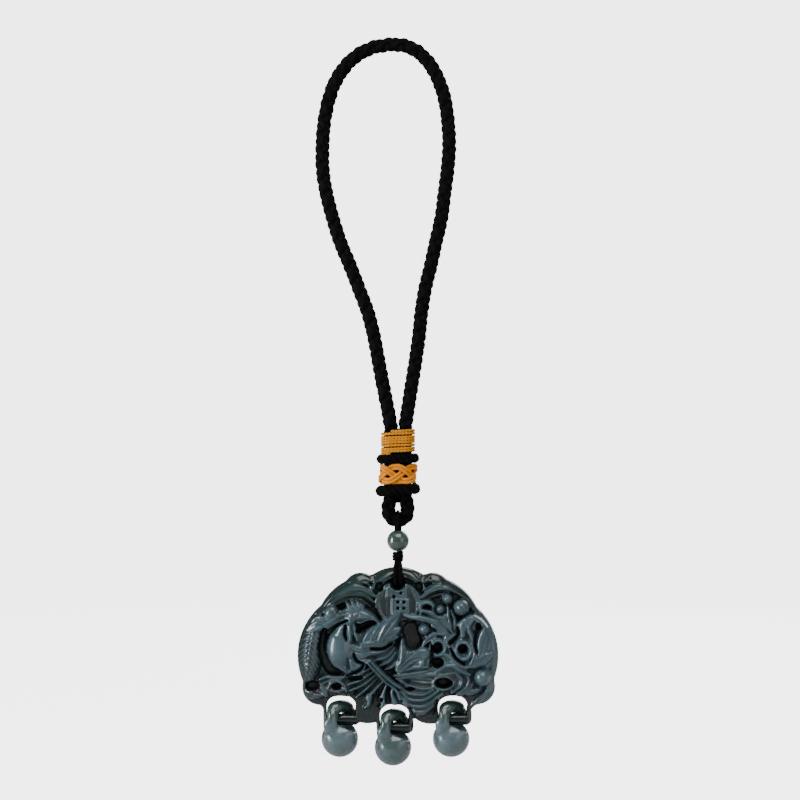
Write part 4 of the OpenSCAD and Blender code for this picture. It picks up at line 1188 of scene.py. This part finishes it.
def cut_forms(height):
    """Cuts the trenches, pits and grooves, and sets the berries into their hollows."""
    for widths, share, route in TRENCHES:
        window, away = along_route(route, widths)[:2]
        sink(height, window, away, FLOOR * share if share > 0.9 else RELIEF * 0.25 * (1 - share))
    for x, z, wide, tall, share in PITS:
        sink(height, WHOLE, away_from(x, z, wide, tall), FLOOR * share)
    for x, z, wide, tall, share in BERRIES:
        away = away_from(x, z, wide, tall)
        sink(height, WHOLE, away / 1.16, RELIEF * share * 0.3, 0.1)
        raise_to(height, WHOLE, RELIEF * share * dome(away))
    for widths, depth, route in GROOVES:
        window, away = along_route(route, widths)[:2]
        height[window] -= depth * np.clip(1 - away ** 2, 0, 1)
    for place, ring, width, depth in ((EYE, 2.7, 0.7, 0.5), (NOSTRIL, 1.5, 0.6, 0.35)):
        height -= depth * np.exp(-((away_from(*place) - ring) / width) ** 2)


def carve():
    """The height of the carving over the grid, in millimetres above the plate's face."""
    height = np.zeros(GRID_X.shape)
    raise_forms(height)
    cut_forms(height)
    height *= 0.34 + 0.66 * ease(outline_room(), 1.0, 10.0)
    for x, bar_z, half in BAR_PLACES:
        aside = np.clip(np.abs(GRID_X - x) - half, 0, None)
        above = np.clip(np.maximum(GRID_Z - bar_z - 18.3, bar_z - 10 - GRID_Z), 0, None)
        height *= ease(np.hypot(aside, above), 0.6, 5.0)
    height *= ease(away_from(*HOLE), 5.5, 8.0)
    thread_path = (1 - ease(np.abs(GRID_X), 3.0, 5.0)) * ease(GRID_Z, 60, 64)
    return np.minimum(height, 5.0 - 3.7 * thread_path)


def blur(field, reach):
    """The field smoothed over a distance in squares."""
    half = int(3 * reach / GRID_STEP)
    steps = np.arange(-half, half + 1) * GRID_STEP
    weights = np.exp(-(steps / reach) ** 2 / 2)
    weights /= weights.sum()
    padded = np.pad(field, half, mode="edge")
    rows = sum(w * padded[i:i + field.shape[0], :] for i, w in enumerate(weights))
    return sum(w * rows[:, i:i + field.shape[1]] for i, w in enumerate(weights))


def sample(field, x, z):
    """Values of a field of the grid at places in squares."""
    col = np.clip((x - GRID_XS[0]) / GRID_STEP, 0, len(GRID_XS) - 1.001)
    row = np.clip((z - GRID_ZS[0]) / GRID_STEP, 0, len(GRID_ZS) - 1.001)
    c, r = col.astype(int), row.astype(int)
    u, v = col - c, row - r
    return (field[r, c] * (1 - u) * (1 - v) + field[r, c + 1] * u * (1 - v)
            + field[r + 1, c] * (1 - u) * v + field[r + 1, c + 1] * u * v)


def read_places(mesh):
    """The places of a mesh's vertices as an array, in millimetres."""
    flat = np.zeros(len(mesh.vertices) * 3)
    mesh.vertices.foreach_get("co", flat)
    return flat.reshape(-1, 3) / MM


def write_places(mesh, places):
    """Moves a mesh's vertices to places given in millimetres."""
    mesh.vertices.foreach_set("co", (places * MM).ravel())
    mesh.update()


def write_field(mesh, name, values):
    """Stores one number for each vertex under a name that the material reads."""
    field = mesh.attributes.new(name, "FLOAT", "POINT")
    field.data.foreach_set("value", values.astype(np.float32))


def remeshed_copy(name, node, material, voxel_mm, shape=None, more=()):
    """A closed copy of a CAD node, grown together with more forms, with an even net of faces."""
    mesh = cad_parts[node].data.copy()
    mesh.name = name
    mesh.materials.clear()
    piece = add_piece(name, mesh, material)
    close_mesh(piece, 2e-6)
    if shape:
        write_places(mesh, shape(read_places(mesh)))
    if more:
        piece = join(name, [piece, *more])
    net = piece.modifiers.new("net", "REMESH")
    net.mode = "VOXEL"
    net.voxel_size = voxel_mm * MM
    net.use_smooth_shade = True
    apply_modifiers(piece)
    piece.data.name = name
    if not piece.data.materials:
        piece.data.materials.append(material)
    return piece


def soften(piece, factor, times):
    """Smooths a piece's surface a little and keeps its form."""
    smooth = piece.modifiers.new("soften", "SMOOTH")
    smooth.factor = factor
    smooth.iterations = times
    apply_modifiers(piece)


def uncarved(places):
    """Sets the plate's front back to one flat face, so that the carving can be cut anew."""
    in_pits = (places[:, 1] > PIT_FLOOR[0]) & (places[:, 1] < PIT_FLOOR[1])
    places[(places[:, 1] < -PLATE_FACE) | in_pits, 1] = -PLATE_FACE
    return places


def lug_walls():
    """Rounded walls beside the openings, where the bars run into the plate."""
    result = []
    for x, z, _ in BAR_PLACES:
        for aside, wall_r in WALL_PLACES:
            place_x, place_z = x * SQUARE_X + aside, PLATE_Z + z * SQUARE_Z
            line = [Vector((place_x, 0, place_z + up)) for up in (-1.3, -0.8, 0.2, 2, 4)]
            result.append(tubes("lug_wall", [line], wall_r, CARVED_JADE, sides=16,
                                radii=[0.3, 0.8, 1, 1, 0.8]))
    return result


def carved_plate():
    """The plate with its whole carving cut into its front."""
    piece = remeshed_copy("carved_plate", "jade_plate", CARVED_JADE, 0.25, uncarved, lug_walls())
    soften(piece, 0.5, 3)
    mesh = piece.data
    height = blur(carve(), 0.3)
    # How far each place lies below its surroundings; the material paints shade where it is high and
    # highlights where it is below zero.
    crevice = 0.55 * (blur(height, 1.6) - height) + 0.45 * (blur(height, 4.5) - height)
    # Painted shade: round the thread's hole the hollow measure is set high, so that the material
    # paints the hole's mouth nearly black.
    crevice = np.maximum(crevice, 1.4 * (1 - ease(away_from(*HOLE), 6.4, 7.6)))
    margin = ease(outline_room(), 13.0, 5.0)
    places = read_places(mesh)
    x, z = places[:, 0] / SQUARE_X, (places[:, 2] - PLATE_Z) / SQUARE_Z
    front = np.clip(-places[:, 1] / PLATE_FACE, 0, 1)
    rise = sample(height, x, z)
    places[:, 1] -= rise * front
    write_places(mesh, places)
    write_field(mesh, "height", np.where(front > 0, np.clip(rise / RELIEF, 0, 1) * front, 0.4))
    write_field(mesh, "hollow", sample(crevice, x, z) / 1.5 * front)
    write_field(mesh, "margin", np.where(front > 0, sample(margin, x, z), 1.0))
    soften(piece, 0.35, 1)
    finish_piece(piece, "pendant", "jade_plate")


# How much higher the top of each drop's arch is than the solid's, in millimetres, and how much
# wider, as shares: its top on the right and on the left, and its right side beside the bar
CROWN_GROWTH = 0.6
CROWN_SPREAD = 0.42
LEFT_SPREAD = 0.3
RIGHT_SPREAD = 0.34
# How far left of the bar's middle its front limb is, and how much broader the limb is
LIMB_BESIDE = 1.3
LIMB_SPREAD = 0.3
# The middle of the bar that each drop hangs on, in millimetres
PINS = {"left": (-17.168, 0, -197.075), "middle": (-1.48, 0, -199.589),
        "right": (15.688, 0, -197.075)}


def drop_ring(name, node, body, pin):
    """A drop: a ball whose arched limb flows into it, fuller at its top, where the material paints
    shade that makes it darker and greener.
    """
    piece = remeshed_copy(name, node, SMOOTH_JADE, 0.26)
    soften(piece, 0.5, 14)
    places = read_places(piece.data)
    low, high = corners(node)
    out = places - np.array(pin)
    reach = np.linalg.norm(out, axis=1, keepdims=True)
    crown = ease(out[:, 2:] / reach, 0.6, 0.95) * ease(reach, 1.8, 4.4)
    places = places + out / reach * crown * CROWN_GROWTH
    height = places[:, 2] - pin[2]
    beside = places[:, 0] - pin[0]
    # The top of the arch, and its right side from the bar upwards
    upper = ease(height, 1.4, 4.0) * np.where(beside > 0, CROWN_SPREAD, LEFT_SPREAD)
    right = ease(height, -0.5, 2.0) * (beside > 0) * RIGHT_SPREAD
    places[:, 0] += beside * np.maximum(upper, right)
    # The front limb between the bar and the ball
    near_bar = ease(height, -5.5, -2.5) * ease(height, 1.2, -0.6)
    limb = near_bar * ease(-places[:, 1], 2.4, 3.4)
    places[:, 0] += limb * (places[:, 0] - pin[0] + LIMB_BESIDE) * LIMB_SPREAD
    write_places(piece.data, places)
    up = (places[:, 2] - low.z) / (high.z - low.z)
    # How high up the drop each vertex lies, for the painted shade at its top.
    write_field(piece.data, "crown", ease(up, 0.45, 0.95))
    finish_piece(piece, body, node)


carved_plate()
for side, pin in PINS.items():
    drop_ring(side + "_drop", side + "_drop_ring", side + "_ring", pin)
